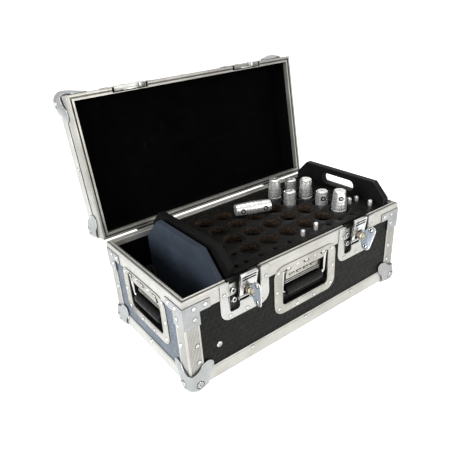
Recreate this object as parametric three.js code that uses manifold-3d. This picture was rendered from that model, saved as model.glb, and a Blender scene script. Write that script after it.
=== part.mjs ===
// Road case for truss accessories, with its lid standing open.
// Millimetres: X to the right along the front, Y to the back, Z up.
// The origin is the middle of the bottom panel's underside.

import * as THREE from 'three';
import { mergeVertices } from 'three/addons/utils/BufferGeometryUtils.js';
import { ConvexGeometry } from 'three/addons/geometries/ConvexGeometry.js';
import Module from 'manifold-3d';

const wasm = await Module();
wasm.setup();

// Case
const caseLength = 600;
const caseDepth = 310;
const baseHeight = 202;
const lidHeight = 72;
const lidOpenDegrees = 98.3;
const panelThickness = 9;
const fieldStep = 0.4;
const fieldGap = 1;

// Clearances
const seatGap = 0.3;
const runningGap = 0.4;
const cutOverrun = 5;
const pointSpacing = 0.001;

// Aluminium edging
const edgeLeg = 32;
const edgeWall = 1.5;
const edgeRound = 2.5;
const edgeRoundSides = 3;
const uprightRoundSides = 4;

// Rim extrusions: a tongue on the base, a groove in the lid
const rimLipInner = 3;
const rimGrooveDepth = 1.8;
const rimTongueNear = 5.4;
const rimTongueFar = 7.4;
const rimTongueHeight = 3;
const rimChamfer = 1;
const rimWeb = 2.2;
const rimInnerDrop = 12;

// Ball corners
const ballRadius = 24;
const ballSides = 20;
const ballRings = 12;
const ballInset = 13;
const cornerPocket = 19;
const cornerPlateThickness = 1.5;
const cornerLobeCentre = 41.5;
const cornerLobeRadius = 12;
const cornerLobeSides = 10;
const cornerHornReach = 44;
const cornerArcStart = 36;
const cornerArcRadius = 33;
const cornerArcSides = 20;
const cornerArcRings = 14;
const cornerDimpleInset = 14;
const cornerDimpleRadius = 8.5;
const cornerDimpleDepth = 3;
const cornerDimpleSides = 12;

// Rim corner braces
const braceThickness = 1.2;
const braceDrop = 13;
const braceReach = 58;
const braceFootWidth = 34;
const braceFootDrop = 60;

// Recessed latches
const latchHandleGap = 11;
const latchShift = -2.5;
const dishWidth = 118;
const dishSheet = 1.2;
const dishCornerRadius = 20;
const latchFlangeDrop = 84;
const latchRecessWidth = 75;
const latchRecessDrop = 54;
const latchRecessRadius = 8;
const latchSlotDrop = 69;
const latchSlotFar = 13.5;
const latchSlotRadius = 5;
const latchNotchWidth = 84;
const keeperFlangeRise = 46;
const keeperRecessRise = 28;

// Latch mechanism
const mechanismShift = 5.5;
const hookWidth = 42;
const hookPlate = 2;
const hookPivotDrop = 46;
const hookPivotInset = 2;
const hookHeadRise = 6;
const hookLipThickness = 3;
const hookLipReach = 4.5;
const hookTailRadius = 6;
const hookKnuckleRadius = 3;
const hookPinRadius = 1.5;
const hookLugThickness = 1.6;
const hookLugHalf = 3.6;
const hookRibHeight = 0.9;
const hookRibWidth = 3;
const hookRibPitch = 6;
const hookRibCount = 3;
const hookTiltDegrees = 12;
const rotorDrop = 33.5;
const rotorBaseRadius = 12;
const rotorBaseThickness = 1.5;
const rotorShaftRadius = 6;
const rotorWindow = 11;
const rotorHeadRadius = 9;
const rotorHeadFloor = 6;
const rotorHeadRise = 14.4;
const rotorHeadChamfer = 0.8;
const rotorSides = 16;
const wingPinRadius = 1.5;
const wingPinRise = 10.6;
const wingKnuckleRadius = 3;
const wingArmInner = 9.5;
const wingArmOuter = 13.4;
const wingArmLength = 4;
const wingReach = 29;
const wingTipHalf = 19;
const wingLobeReach = 14;
const wingLobeHalf = 26;
const wingThickness = 1.6;
const wingEyeletRadius = 2.6;
const wingEyeletReach = 16;
const wingEyeletHalf = 18.7;
const wingStandingDegrees = 90;
const wingCurveSides = 4;
const knuckleSides = 10;
const pinSides = 8;
const turnToLockDegrees = 90;
const leftTurnDegrees = 0;
const rightTurnDegrees = 27;

// Keeper in the lid
const keeperSheet = 1.2;
const keeperWidth = 44;
const keeperRise = 20;
const keeperShelfRise = 1;
const keeperShelfReach = 3.8;
const keeperLoopRadius = 4.5;
const keeperLoopBore = 2.2;
const keeperLoopDrop = 4;
const keeperLoopSides = 14;
const keeperBoreSides = 10;

// Recessed handles
const handlePlateWidth = 177;
const handlePlateHeight = 115;
const handleCornerRadius = 25;
const handleOpeningWidth = 132;
const handleOpeningLow = -38.5;
const handleOpeningHigh = 32.5;
const handleOpeningRadius = 9;
const handleNotchHigh = 44;
const handleNotchWidth = 10.5;
const handleTubDepth = 13;
const frontHandleDrop = 79.5;
const endHandleDrop = 84;
const bailRadius = 3.5;
const bailHalfWidth = 61;
const bailBendRadius = 9;
const bailAxisHeight = 39;
const bailAxisInset = 5.6;
const bailGripHeight = -12;
const bailTiltDegrees = 3.8;
const bailStrapInset = 30;
const bailStrapWidth = 12;
const bailStrapLip = 1.5;
const bailSides = 10;
const bailBendSides = 4;
const bailBendSteps = 5;
const gripRadius = 10.8;
const gripEndRadius = 9;
const gripEndChamfer = 3;
const gripRidgeCount = 4;
const gripRidgeDepth = 0.8;
const gripRidgeHalf = 3;
const gripSides = 12;

// Hinges
const hingeEndInset = 110;
const hingeWidth = 60;
const hingeLidKnuckleWidth = 20;
const hingeAxisBehind = 4.1;
const hingeAxisDrop = 4.7;
const hingeLeafThickness = 1.8;
const hingeLeafReach = 30;
const hingePinRadius = 1.8;
const hingeKnuckleRadius = 3.4;
const hingeSides = 12;

// Compartment divider
const dividerLeft = 93;
const dividerThickness = 12;
const dividerRise = 41;
const dividerChamfer = 56;
const dividerEndGap = 2;
const bracketLeg = 28;
const bracketHeight = 60;
const bracketSheet = 1.5;
const bracketRise = 50;

// Tray
const trayDividerGap = 7;
const trayEndGap = 7.4;
const traySideGap = 1.9;
const boardThickness = 14;
const boardRise = 48;
const boardChamfer = 33;
const handHoleLength = 100;
const handHoleHeight = 27;
const handHoleRise = 20;
const plateSideGap = 2.5;
const plateThickness = 18;
const plateDrop = 2;
const shelfDrop = 42;
const shelfThickness = 9;
const largeHoleRadius = 22.5;
const largeHolePitch = 54;
const holeWeb = 8;
const largeHoleSides = 20;
const smallHoleRadius = 6;
const smallHolePitchX = 38.7;
const smallHolePitchY = 39.3;
const smallHoleOuterInset = 20.2;
const smallHoleOuterStep = 20;
const smallHoleSideMargin = 18;
const smallHoleSides = 8;
const handHoleSides = 8;

// Contents
const couplerLong = 88;
const couplerShort = 72;
const couplerChamfer = 3;
const couplerBoreRadius = 4.6;
const couplerBoreInset = 14;
const couplerSides = 18;
const couplerBoreSides = 8;
const couplerTopRadius = 13.8;
const towardsViewerDegrees = -34;
const acrossViewDegrees = 40;
const slimWaistRadius = 15.5;
const middleWaistRadius = 16.5;
const wideWaistRadius = 17.5;
const lyingFromStanding = 104.4;
const lyingCentreY = 41.4;
const lyingTurnDegrees = -22;

// Levels and reaches worked out from the sizes above
const panelInset = edgeWall + seatGap;
const floorZ = -panelInset;
const rimZ = floorZ + baseHeight;
const innerInset = panelInset + panelThickness;
const rimInnerNear = innerInset + seatGap;
const rimInnerFar = rimInnerNear + edgeWall;
const ballNotch = cornerPocket + seatGap;
const flangeLow = -edgeWall;
const flangeHigh = seatGap;
const handleFaceDrop = { front: frontHandleDrop, left: endHandleDrop, right: endHandleDrop };
const latchSpacing = handlePlateWidth + dishWidth + 2 * latchHandleGap;
const rotorShoulder = rotorHeadRise - rotorHeadChamfer - wingPinRise;
const wingNotchDepth = Math.hypot(rotorHeadRadius, rotorShoulder) + seatGap;

// Materials
function finish(color, roughness, metalness) {
  return new THREE.MeshStandardMaterial({ color, roughness, metalness });
}

const aluminium = finish(0xc9c7c1, 0.38, 0.9);
const laminate = finish(0x2f2f2b, 0.6, 0);
const steel = finish(0xd2d0ca, 0.25, 1);
const zinc = finish(0xb9bec4, 0.32, 1);
const rubber = finish(0x151515, 0.75, 0);
const board = finish(0x2a2a29, 0.7, 0);
const blueBoard = finish(0x2c3140, 0.7, 0);
const turnedAluminium = finish(0xdcdad5, 0.22, 1);

// Solids

// A closed solid from any closed three.js geometry.
function solidOf(geometry) {
  const bare = geometry.index ? geometry.toNonIndexed() : geometry.clone();
  bare.deleteAttribute('normal');
  bare.deleteAttribute('uv');
  const welded = mergeVertices(bare);
  const kept = [];
  const corners = welded.index.array;
  for (let i = 0; i < corners.length; i += 3) {
    const [a, b, c] = [corners[i], corners[i + 1], corners[i + 2]];
    if (a !== b && b !== c && c !== a) kept.push(a, b, c);
  }
  const vertProperties = new Float32Array(welded.attributes.position.array);
  const closed = (triVerts) => new wasm.Manifold(new wasm.Mesh({ numProp: 3, vertProperties, triVerts }));
  const made = closed(new Uint32Array(kept));
  return made.volume() > 0 ? made : closed(new Uint32Array(kept.reverse()));
}

function geometryOf(solid) {
  const mesh = solid.getMesh();
  const geometry = new THREE.BufferGeometry();
  geometry.setAttribute('position', new THREE.BufferAttribute(mesh.vertProperties, 3));
  geometry.setIndex(new THREE.BufferAttribute(mesh.triVerts, 1));
  geometry.computeVertexNormals();
  return geometry;
}

const join = (solids) => solids.reduce((whole, next) => whole.add(next));
const cutAll = (solid, cutters) => cutters.reduce((whole, next) => whole.subtract(next), solid);

// A box between two corners.
function block([x0, x1], [y0, y1], [z0, z1], matrix) {
  const geometry = new THREE.BoxGeometry(x1 - x0, y1 - y0, z1 - z0);
  geometry.translate((x0 + x1) / 2, (y0 + y1) / 2, (z0 + z1) / 2);
  if (matrix) geometry.applyMatrix4(matrix);
  return solidOf(geometry);
}

// An outline's points without neighbours that coincide.
function distinct(points) {
  return points.filter((point, i) => point.distanceTo(points[(i + 1) % points.length]) > pointSpacing);
}

// A flat outline in X and Y, given thickness between two heights along Z.
function prism(shape, [z0, z1], curveSegments = 3, matrix) {
  const drawn = shape.extractPoints(curveSegments);
  const outline = new THREE.Shape(distinct(drawn.shape));
  outline.holes = drawn.holes.map((hole) => new THREE.Path(distinct(hole)));
  const geometry = new THREE.ExtrudeGeometry(outline, { depth: z1 - z0, bevelEnabled: false });
  geometry.translate(0, 0, z0);
  if (matrix) geometry.applyMatrix4(matrix);
  return solidOf(geometry);
}

// A profile of [radius, height] points turned about Z.
function turned(points, sides, matrix) {
  const geometry = new THREE.LatheGeometry(points.map(([r, h]) => new THREE.Vector2(r, h)), sides);
  geometry.rotateX(Math.PI / 2);
  if (matrix) geometry.applyMatrix4(matrix);
  return solidOf(geometry);
}

const disc = (radius, [z0, z1], sides, matrix) =>
  turned([[0, z0], [radius, z0], [radius, z1], [0, z1]], sides, matrix);

const move = (x, y, z) => new THREE.Matrix4().makeTranslation(x, y, z);
const turnX = (angle) => new THREE.Matrix4().makeRotationX(angle);
const turnY = (angle) => new THREE.Matrix4().makeRotationY(angle);
const turnZ = (angle) => new THREE.Matrix4().makeRotationZ(angle);
const degrees = THREE.MathUtils.degToRad;

// A rectangle with its own radius at each end; zero leaves that end square.
function roundedOutline(x0, x1, y0, y1, lowRadius, highRadius) {
  const shape = new THREE.Shape();
  shape.moveTo(x0 + lowRadius, y0);
  shape.lineTo(x1 - lowRadius, y0);
  if (lowRadius) shape.absarc(x1 - lowRadius, y0 + lowRadius, lowRadius, -Math.PI / 2, 0);
  shape.lineTo(x1, y1 - highRadius);
  if (highRadius) shape.absarc(x1 - highRadius, y1 - highRadius, highRadius, 0, Math.PI / 2);
  shape.lineTo(x0 + highRadius, y1);
  if (highRadius) shape.absarc(x0 + highRadius, y1 - highRadius, highRadius, Math.PI / 2, Math.PI);
  shape.lineTo(x0, y0 + lowRadius);
  if (lowRadius) shape.absarc(x0 + lowRadius, y0 + lowRadius, lowRadius, Math.PI, 1.5 * Math.PI);
  return shape;
}

function polygon(points) {
  return new THREE.Shape(points.map(([x, y]) => new THREE.Vector2(x, y)));
}

// The scene graph

function piece(name, parent, solid, material) {
  const mesh = new THREE.Mesh(geometryOf(solid), material);
  mesh.name = name;
  parent.add(mesh);
  return mesh;
}

const truss_case = new THREE.Group();
const base = new THREE.Group();
truss_case.add(base);

// The lid's pieces are drawn closed, and turn back about the hinges.
const hingeY = caseDepth / 2 + hingeAxisBehind;
const hingeZ = rimZ - hingeAxisDrop;
const lidTurn = new THREE.Group();
lidTurn.position.set(0, hingeY, hingeZ);
lidTurn.rotation.x = -degrees(lidOpenDegrees);
truss_case.add(lidTurn);
const lid = new THREE.Group();
lid.position.set(0, -hingeY, -hingeZ);
lidTurn.add(lid);

// A face frame has u along the wall to the right as seen from outside, v up from the rim
// and w outward from the edging's outer face.
const sides = {
  front: { quarter: 0, reach: caseDepth / 2, length: caseLength },
  right: { quarter: 1, reach: caseLength / 2, length: caseDepth },
  back: { quarter: 2, reach: caseDepth / 2, length: caseLength },
  left: { quarter: 3, reach: caseLength / 2, length: caseDepth },
};

function faceMatrix(side) {
  const { quarter, reach } = sides[side];
  return turnZ(quarter * Math.PI / 2).multiply(move(0, -reach, rimZ)).multiply(turnX(Math.PI / 2));
}

function faceGroup(side, parent) {
  const { quarter, reach } = sides[side];
  const swing = new THREE.Group();
  swing.rotation.z = quarter * Math.PI / 2;
  parent.add(swing);
  const face = new THREE.Group();
  face.position.set(0, -reach, rimZ);
  face.rotation.x = Math.PI / 2;
  swing.add(face);
  return face;
}

const baseFaces = {};
const lidFaces = {};
for (const side of Object.keys(sides)) {
  baseFaces[side] = faceGroup(side, base);
  lidFaces[side] = faceGroup(side, lid);
}

// A section of [inward, up] points carried round the case's walls and mitred at its corners.
function mitredRing(section) {
  const quarter = caseDepth / 4;
  const profile = [...section, section[0]].map(([inward, up]) =>
    new THREE.Vector2((quarter - inward) * Math.SQRT2, up));
  const geometry = new THREE.LatheGeometry(profile, 4, Math.PI / 4);
  geometry.rotateX(Math.PI / 2);
  const place = geometry.attributes.position;
  for (let i = 0; i < place.count; i += 1) {
    const [x, y] = [place.getX(i), place.getY(i)];
    place.setX(i, x + Math.sign(x) * (caseLength / 2 - quarter));
    place.setY(i, y + Math.sign(y) * (caseDepth / 2 - quarter));
  }
  return solidOf(geometry);
}

// Latch and handle places along the front

const latches = {
  left: { u: latchShift - latchSpacing / 2, turnDegrees: leftTurnDegrees },
  right: { u: latchShift + latchSpacing / 2, turnDegrees: rightTurnDegrees },
};

// Ball corners: each is drawn at the corner of three walls that run towards +X, +Y and +Z,
// and the other corners are its mirror images.
function cornerSolid() {
  const skin = -seatGap - cornerPlateThickness;
  const points = [];
  const ball = new THREE.SphereGeometry(ballRadius, ballSides, ballRings);
  ball.translate(ballInset, ballInset, ballInset);
  for (let i = 0; i < ball.attributes.position.count; i += 1) {
    points.push(new THREE.Vector3().fromBufferAttribute(ball.attributes.position, i));
  }
  for (let i = 0; i < cornerLobeSides; i += 1) {
    const angle = (i / cornerLobeSides) * 2 * Math.PI;
    const a = cornerLobeCentre + cornerLobeRadius * Math.cos(angle);
    const b = cornerLobeCentre + cornerLobeRadius * Math.sin(angle);
    points.push(new THREE.Vector3(a, b, skin), new THREE.Vector3(a, skin, b), new THREE.Vector3(skin, a, b));
  }
  const horn = cornerHornReach;
  const soft = skin + edgeRound;
  points.push(new THREE.Vector3(horn, skin, soft), new THREE.Vector3(horn, soft, skin));
  points.push(new THREE.Vector3(skin, horn, soft), new THREE.Vector3(soft, horn, skin));
  points.push(new THREE.Vector3(skin, soft, horn), new THREE.Vector3(soft, skin, horn));
  const pressing = solidOf(new ConvexGeometry(points));

  const far = cornerLobeCentre + cornerLobeRadius + cutOverrun;
  const walls = block([-seatGap, far], [-seatGap, far], [-seatGap, far]);
  const pocket = block([-cutOverrun, cornerPocket], [-cutOverrun, cornerPocket], [-cutOverrun, cornerPocket]);
  const arcCentre = cornerArcStart + cornerArcRadius;
  const arcs = [[arcCentre, 0, 0], [0, arcCentre, 0], [0, 0, arcCentre]].map(([x, y, z]) => {
    const cutter = new THREE.SphereGeometry(cornerArcRadius, cornerArcSides, cornerArcRings);
    cutter.translate(x, y, z);
    return solidOf(cutter);
  });
  const dimpleFloor = ballInset - ballRadius + cornerDimpleDepth;
  const dimple = disc(cornerDimpleRadius, [-ballRadius, dimpleFloor], cornerDimpleSides,
    move(cornerDimpleInset, cornerDimpleInset, 0));
  const diagonal = new THREE.Vector3(1, 1, 1).normalize();
  const thirdTurn = new THREE.Matrix4().makeRotationAxis(diagonal, 2 * Math.PI / 3);
  const dimples = [dimple, dimple.transform(thirdTurn.elements),
    dimple.transform(thirdTurn.clone().transpose().elements)];
  return cutAll(pressing, [walls.subtract(pocket), ...arcs, ...dimples]);
}

// Mirror images of a solid at the four corners, with Z running up from the floor or down from the top.
const cornerNames = ['front_left', 'rear_left', 'front_right', 'rear_right'];
function fourCorners(solid, level, up) {
  const placed = [];
  for (const sx of [-1, 1]) {
    for (const sy of [-1, 1]) {
      const matrix = new THREE.Matrix4().makeScale(-sx, -sy, up);
      matrix.setPosition(sx * caseLength / 2, sy * caseDepth / 2, level);
      placed.push(solid.transform(matrix.elements));
    }
  }
  return placed;
}

function cornerPieces(prefix, parent, solid, level, up, material) {
  fourCorners(solid, level, up).forEach((placed, i) => {
    piece(`${prefix}_${cornerNames[i]}`, parent, placed, material);
  });
}

// The cubes that the ball corners' bodies fill, taken out of the panels and edging.
function cornerPockets(level, up) {
  const cube = block([-cutOverrun, ballNotch], [-cutOverrun, ballNotch], [-cutOverrun, ballNotch]);
  return fourCorners(cube, level, up);
}

const corner = cornerSolid();
const lidTopZ = rimZ + lidHeight;
const basePockets = cornerPockets(floorZ, 1);
const lidPockets = cornerPockets(lidTopZ, -1);

// A flange that lies on the panel and steps up to lie over the edging's leg.
// legSide is +1 where the leg is above its edge and -1 where it is below.
function steppedFlange(outline, legEdge, legSide) {
  const near = legEdge - legSide * seatGap;
  const far = near - legSide * dishSheet;
  const slab = (from, direction, levels) => {
    const span = direction > 0 ? [from, from + caseLength] : [from - caseLength, from];
    return block([-caseLength, caseLength], span, levels);
  };
  const onPanel = slab(near, -legSide, [flangeLow, flangeLow + dishSheet]);
  const onLeg = slab(far, legSide, [flangeHigh, flangeHigh + dishSheet]);
  const web = slab(near, -legSide, [flangeLow, flangeHigh + dishSheet])
    .intersect(slab(far, legSide, [flangeLow, flangeHigh + dishSheet]));
  return prism(outline, [flangeLow, flangeHigh + dishSheet]).intersect(join([onPanel, web, onLeg]));
}

// A latch dish: its flange and the tub let into the panel, open at the rim.
// rise is +1 where the dish runs up from the rim and -1 where it runs down.
// The lid's flange lies over both of its edgings' legs, so it has no step.
function latchDish(rise, flangeReach, recessReach, slot) {
  const start = rise > 0 ? seatGap : 0;
  const outline = ([left, right], near, far, radius) => (rise > 0
    ? roundedOutline(left, right, near, far, 0, radius)
    : roundedOutline(left, right, -far, -near, radius, 0));
  const plate = outline([-dishWidth / 2, dishWidth / 2], start, flangeReach, dishCornerRadius);
  const flange = rise > 0
    ? prism(plate, [flangeHigh, flangeHigh + dishSheet])
    : steppedFlange(plate, -edgeLeg, 1);
  const half = latchRecessWidth / 2;
  const back = seatGap - innerInset;
  const recesses = [{ left: -half, right: half, reach: recessReach, radius: latchRecessRadius }];
  if (slot) {
    recesses.push({ left: -half, right: -latchSlotFar, reach: latchSlotDrop, radius: latchSlotRadius });
  }
  const tub = ({ left, right, reach, radius }) => {
    const across = [left - dishSheet, right + dishSheet];
    return prism(outline(across, start, reach + dishSheet, radius + dishSheet), [back, flangeHigh]);
  };
  const hollowDepth = [back + dishSheet, flangeHigh + dishSheet + cutOverrun];
  const hollow = ({ left, right, reach, radius }) =>
    prism(outline([left, right], -cutOverrun, reach, radius), hollowDepth);
  return cutAll(join([flange, ...recesses.map(tub)]), recesses.map(hollow));
}

// The hole in a panel and the notch in the rim that let a latch dish in.
function latchOpening(u, rise, recessReach) {
  const margin = dishSheet + seatGap;
  const half = latchRecessWidth / 2 + margin;
  const reach = recessReach + margin;
  const [a, b] = rise > 0 ? [-cutOverrun, reach] : [-reach, cutOverrun];
  return block([u - half, u + half], [a, b], [-innerInset - cutOverrun, cutOverrun]);
}

// The further hole for the slot in a base latch's dish.
function slotOpening(u) {
  const margin = dishSheet + seatGap;
  const across = [u - latchRecessWidth / 2 - margin, u - latchSlotFar + margin];
  const height = [-latchSlotDrop - margin, cutOverrun - latchRecessDrop];
  return block(across, height, [-innerInset - cutOverrun, cutOverrun]);
}

// Base panels; the bottom one's field stands a little below its margin, which the edging covers

function handleOpening(side) {
  const half = handleOpeningWidth / 2 + dishSheet + seatGap;
  const drop = handleFaceDrop[side];
  const low = handleOpeningLow - dishSheet - seatGap - drop;
  const high = handleNotchHigh + dishSheet + seatGap - drop;
  return block([-half, half], [low, high], [-innerInset - cutOverrun, cutOverrun]);
}

const panelTop = -(rimGrooveDepth + rimWeb + seatGap);
const wallBottom = floorZ + panelInset - rimZ;

function basePanel(side) {
  const ends = sides[side].length / 2;
  const meets = side === 'front' || side === 'back' ? panelInset : innerInset + seatGap;
  const span = ends - meets;
  const solid = block([-span, span], [wallBottom, panelTop], [-innerInset, -panelInset]);
  const openings = [];
  if (side !== 'back') openings.push(handleOpening(side));
  if (side === 'front') {
    for (const latch of Object.values(latches)) {
      openings.push(latchOpening(latch.u, -1, latchRecessDrop), slotOpening(latch.u));
    }
  }
  const unplaced = faceMatrix(side).invert();
  const pockets = basePockets.map((pocket) => pocket.transform(unplaced.elements));
  return cutAll(solid, [...openings, ...pockets]);
}

for (const side of Object.keys(sides)) {
  piece(`base_${side}_panel`, baseFaces[side], basePanel(side), laminate);
}

const bottomX = caseLength / 2 - innerInset - seatGap;
const bottomY = caseDepth / 2 - innerInset - seatGap;
const fieldX = caseLength / 2 - edgeLeg - fieldGap;
const fieldY = caseDepth / 2 - edgeLeg - fieldGap;
const cornerReach = cornerLobeCentre + cornerLobeRadius + fieldGap;
const bottomField = block([-fieldX, fieldX], [-fieldY, fieldY], [0, fieldStep + seatGap]);
const underCorners = fourCorners(block([0, cornerReach], [0, cornerReach], [-cutOverrun, fieldStep]), 0, 1);
const bottomBoard = block([-bottomX, bottomX], [-bottomY, bottomY], [fieldStep, panelThickness]);
const bottomPanel = bottomBoard.add(cutAll(bottomField, underCorners));
piece('base_bottom_panel', base, cutAll(bottomPanel, basePockets), laminate);

// Base edging: a mitred frame round the bottom with four uprights, and the tongued rim

function uprightExtrusion(height) {
  const outline = new THREE.Shape();
  outline.moveTo(edgeRound, 0);
  outline.lineTo(edgeLeg, 0);
  outline.lineTo(edgeLeg, edgeWall);
  outline.lineTo(edgeWall, edgeWall);
  outline.lineTo(edgeWall, edgeLeg);
  outline.lineTo(0, edgeLeg);
  outline.lineTo(0, edgeRound);
  outline.absarc(edgeRound, edgeRound, edgeRound, Math.PI, 1.5 * Math.PI);
  return prism(outline, [0, height], uprightRoundSides);
}

// An edge between a wall and the top or bottom: [inward, along the wall] points.
function cornerEdgeSection(direction) {
  const at = (inward, along) => [inward, direction * along];
  const arc = [];
  for (let i = 0; i <= edgeRoundSides; i += 1) {
    const angle = (i / edgeRoundSides) * Math.PI / 2;
    arc.push(at(edgeRound * (1 - Math.cos(angle)), edgeRound * (1 - Math.sin(angle))));
  }
  const legs = [[edgeLeg, 0], [edgeLeg, edgeWall], [edgeWall, edgeWall], [edgeWall, edgeLeg], [0, edgeLeg]];
  return [...arc, ...legs.map(([inward, along]) => at(inward, along))];
}

// The mitred frame at the top or bottom with the uprights that stand on it, less the ball corners' pockets.
function edging(level, direction, wallHeight, pockets) {
  const ring = mitredRing(cornerEdgeSection(direction)).translate([0, 0, level]);
  const reach = wallHeight - edgeLeg - seatGap;
  const start = edgeLeg - edgeWall;
  const uprights = fourCorners(uprightExtrusion(reach - start), level + direction * start, direction);
  return cutAll(join([ring, ...uprights]), pockets);
}

piece('base_edging', base, edging(floorZ, 1, baseHeight, basePockets), aluminium);

const tongueRimSection = [
  [0, -edgeLeg], [edgeWall, -edgeLeg], [edgeWall, panelTop + seatGap], [rimInnerNear, panelTop + seatGap],
  [rimInnerNear, -rimGrooveDepth - rimInnerDrop], [rimInnerFar, -rimGrooveDepth - rimInnerDrop],
  [rimInnerFar, -rimGrooveDepth], [rimTongueFar, -rimGrooveDepth],
  [rimTongueFar, rimTongueHeight - rimChamfer / 2], [rimTongueFar - rimChamfer / 2, rimTongueHeight],
  [rimTongueNear + rimChamfer / 2, rimTongueHeight], [rimTongueNear, rimTongueHeight - rimChamfer / 2],
  [rimTongueNear, -rimGrooveDepth], [rimLipInner, -rimGrooveDepth], [rimLipInner, 0],
  [rimChamfer, 0], [0, -rimChamfer],
];

// The outer leg and tongue stop at each latch dish; the inner leg runs on behind it.
function rimRing(section) {
  const half = latchNotchWidth / 2;
  const height = [-edgeLeg - cutOverrun, edgeLeg + cutOverrun];
  const notches = Object.values(latches).map(({ u }) =>
    block([u - half, u + half], height, [-innerInset, cutOverrun]).transform(faceMatrix('front').elements));
  return cutAll(mitredRing(section).translate([0, 0, rimZ]), notches);
}

piece('base_rim', base, rimRing(tongueRimSection), aluminium);

cornerPieces('base_ball_corner', base, corner, floorZ, 1, zinc);

// Braces over the rim's mitred corners
function cornerBrace() {
  const outer = -seatGap - braceThickness;
  const onFace = prism(polygon([
    [outer, -braceDrop], [outer, -braceFootDrop], [braceFootWidth, -braceFootDrop],
    [braceFootWidth, -edgeLeg], [braceReach, -edgeLeg], [braceReach, -braceDrop],
  ]), [seatGap, seatGap + braceThickness]);
  const front = onFace.transform(turnX(Math.PI / 2).elements);
  const mirrored = new THREE.Matrix4().set(0, 1, 0, 0, 1, 0, 0, 0, 0, 0, 1, 0, 0, 0, 0, 1);
  return front.add(front.transform(mirrored.elements));
}

cornerPieces('rim_brace', base, cornerBrace(), rimZ, 1, steel);

// Hinges on the back

const alongAxis = turnY(Math.PI / 2);

// One leaf in its hinge's own frame: the axis runs along u at the origin, w points away from the case.
function hingeLeaf(spans, rise) {
  const back = seatGap - hingeAxisBehind;
  const wall = [back, back + hingeLeafThickness];
  const half = hingeWidth / 2;
  const edge = hingeKnuckleRadius + runningGap;
  const plateSpan = rise > 0 ? [edge, hingeLeafReach] : [-hingeLeafReach, -edge];
  const rootSpan = rise > 0 ? [0, edge + seatGap] : [-edge - seatGap, 0];
  const knuckles = spans.map((span) =>
    block(span, rootSpan, wall).add(disc(hingeKnuckleRadius, span, hingeSides, alongAxis)));
  return join([block([-half, half], plateSpan, wall), ...knuckles]);
}

const knuckleHalf = hingeLidKnuckleWidth / 2;
const hingeHalf = hingeWidth / 2;
const caseKnuckles = [[-hingeHalf, -knuckleHalf - runningGap], [knuckleHalf + runningGap, hingeHalf]];
const hingePin = disc(hingePinRadius, [-hingeHalf, hingeHalf], hingeSides, alongAxis);
const pinBore = disc(hingePinRadius + runningGap, [-hingeHalf, hingeHalf], hingeSides, alongAxis);
const caseLeaf = hingeLeaf(caseKnuckles, -1).add(hingePin);
const lidLeaf = hingeLeaf([[-knuckleHalf, knuckleHalf]], 1).subtract(pinBore);
const hingeReach = caseLength / 2 - hingeEndInset;
const hingePlaces = { left: hingeReach, right: -hingeReach };
for (const [name, u] of Object.entries(hingePlaces)) {
  const place = [u, -hingeAxisDrop, hingeAxisBehind];
  piece(`hinge_${name}_case_leaf`, baseFaces.back, caseLeaf.translate(place), zinc);
  piece(`hinge_${name}_lid_leaf`, lidFaces.back, lidLeaf.translate(place), zinc);
}

// Latch dishes and mechanisms

const baseDish = latchDish(-1, latchFlangeDrop, latchRecessDrop, true);
const lidDish = latchDish(1, keeperFlangeRise, keeperRecessRise, false);

// The hook frame in its pivot's frame: v up, w outward, upright.
function hookFrame() {
  const half = hookWidth / 2;
  const top = hookPivotDrop + hookHeadRise;
  const rotorAt = hookPivotDrop - rotorDrop;
  const outline = roundedOutline(-half, half, -hookTailRadius, top, hookTailRadius, 0);
  const front = hookPlate / 2;
  const plate = prism(outline, [-front, front]);
  const lip = block([-half, half], [top - hookLipThickness, top], [-front - hookLipReach, front]);
  const ribs = [];
  for (let i = 0; i < hookRibCount; i += 1) {
    const ribTop = top - i * hookRibPitch;
    ribs.push(block([-half, half], [ribTop - hookRibWidth, ribTop], [0, front + hookRibHeight]));
  }
  const slot = roundedOutline(-rotorWindow, rotorWindow, rotorAt - rotorWindow, rotorAt + rotorWindow,
    rotorWindow / 2, rotorWindow / 2);
  const slotCut = prism(slot, [-front - cutOverrun, front + hookRibHeight + cutOverrun]);
  const knuckle = disc(hookKnuckleRadius, [-half, half], knuckleSides, alongAxis);
  const pinBore = disc(hookPinRadius + runningGap, [-hookWidth, hookWidth], knuckleSides, alongAxis);
  return join([plate, lip, knuckle, ...ribs]).subtract(slotCut).subtract(pinBore);
}

// The two lugs on a latch dish's floor and the pin between them that the hook frame turns on.
function hookMount() {
  const half = hookWidth / 2;
  const floor = seatGap - innerInset + dishSheet / 2;
  const front = hookPinRadius + hookLugHalf / 2 - hookPivotInset;
  const height = [-hookPivotDrop - hookLugHalf, -hookPivotDrop + hookLugHalf];
  const lugs = [-1, 1].map((s) => {
    const near = s * (half + runningGap);
    const far = near + s * hookLugThickness;
    return block([Math.min(near, far), Math.max(near, far)], height, [floor, front]);
  });
  const reach = half + runningGap + hookLugThickness / 2;
  const axle = disc(hookPinRadius, [-reach, reach], pinSides,
    move(0, -hookPivotDrop, -hookPivotInset).multiply(alongAxis));
  return join([...lugs, axle]);
}

// The rotor in a frame at its axis on the case's outer face: w outward. The wing's pin runs through its head.
function rotor() {
  const tubFloor = seatGap - innerInset + dishSheet;
  const seat = tubFloor + seatGap;
  const spindle = turned([
    [0, seat], [rotorBaseRadius, seat], [rotorBaseRadius, seat + rotorBaseThickness],
    [rotorShaftRadius, seat + rotorBaseThickness], [rotorShaftRadius, rotorHeadFloor],
    [rotorHeadRadius, rotorHeadFloor], [rotorHeadRadius, rotorHeadRise - rotorHeadChamfer],
    [rotorHeadRadius - rotorHeadChamfer, rotorHeadRise], [0, rotorHeadRise],
  ], rotorSides);
  const pin = disc(wingPinRadius, [-wingArmOuter, wingArmOuter], pinSides,
    move(0, 0, wingPinRise).multiply(turnX(Math.PI / 2)));
  return spindle.add(pin);
}

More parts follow.
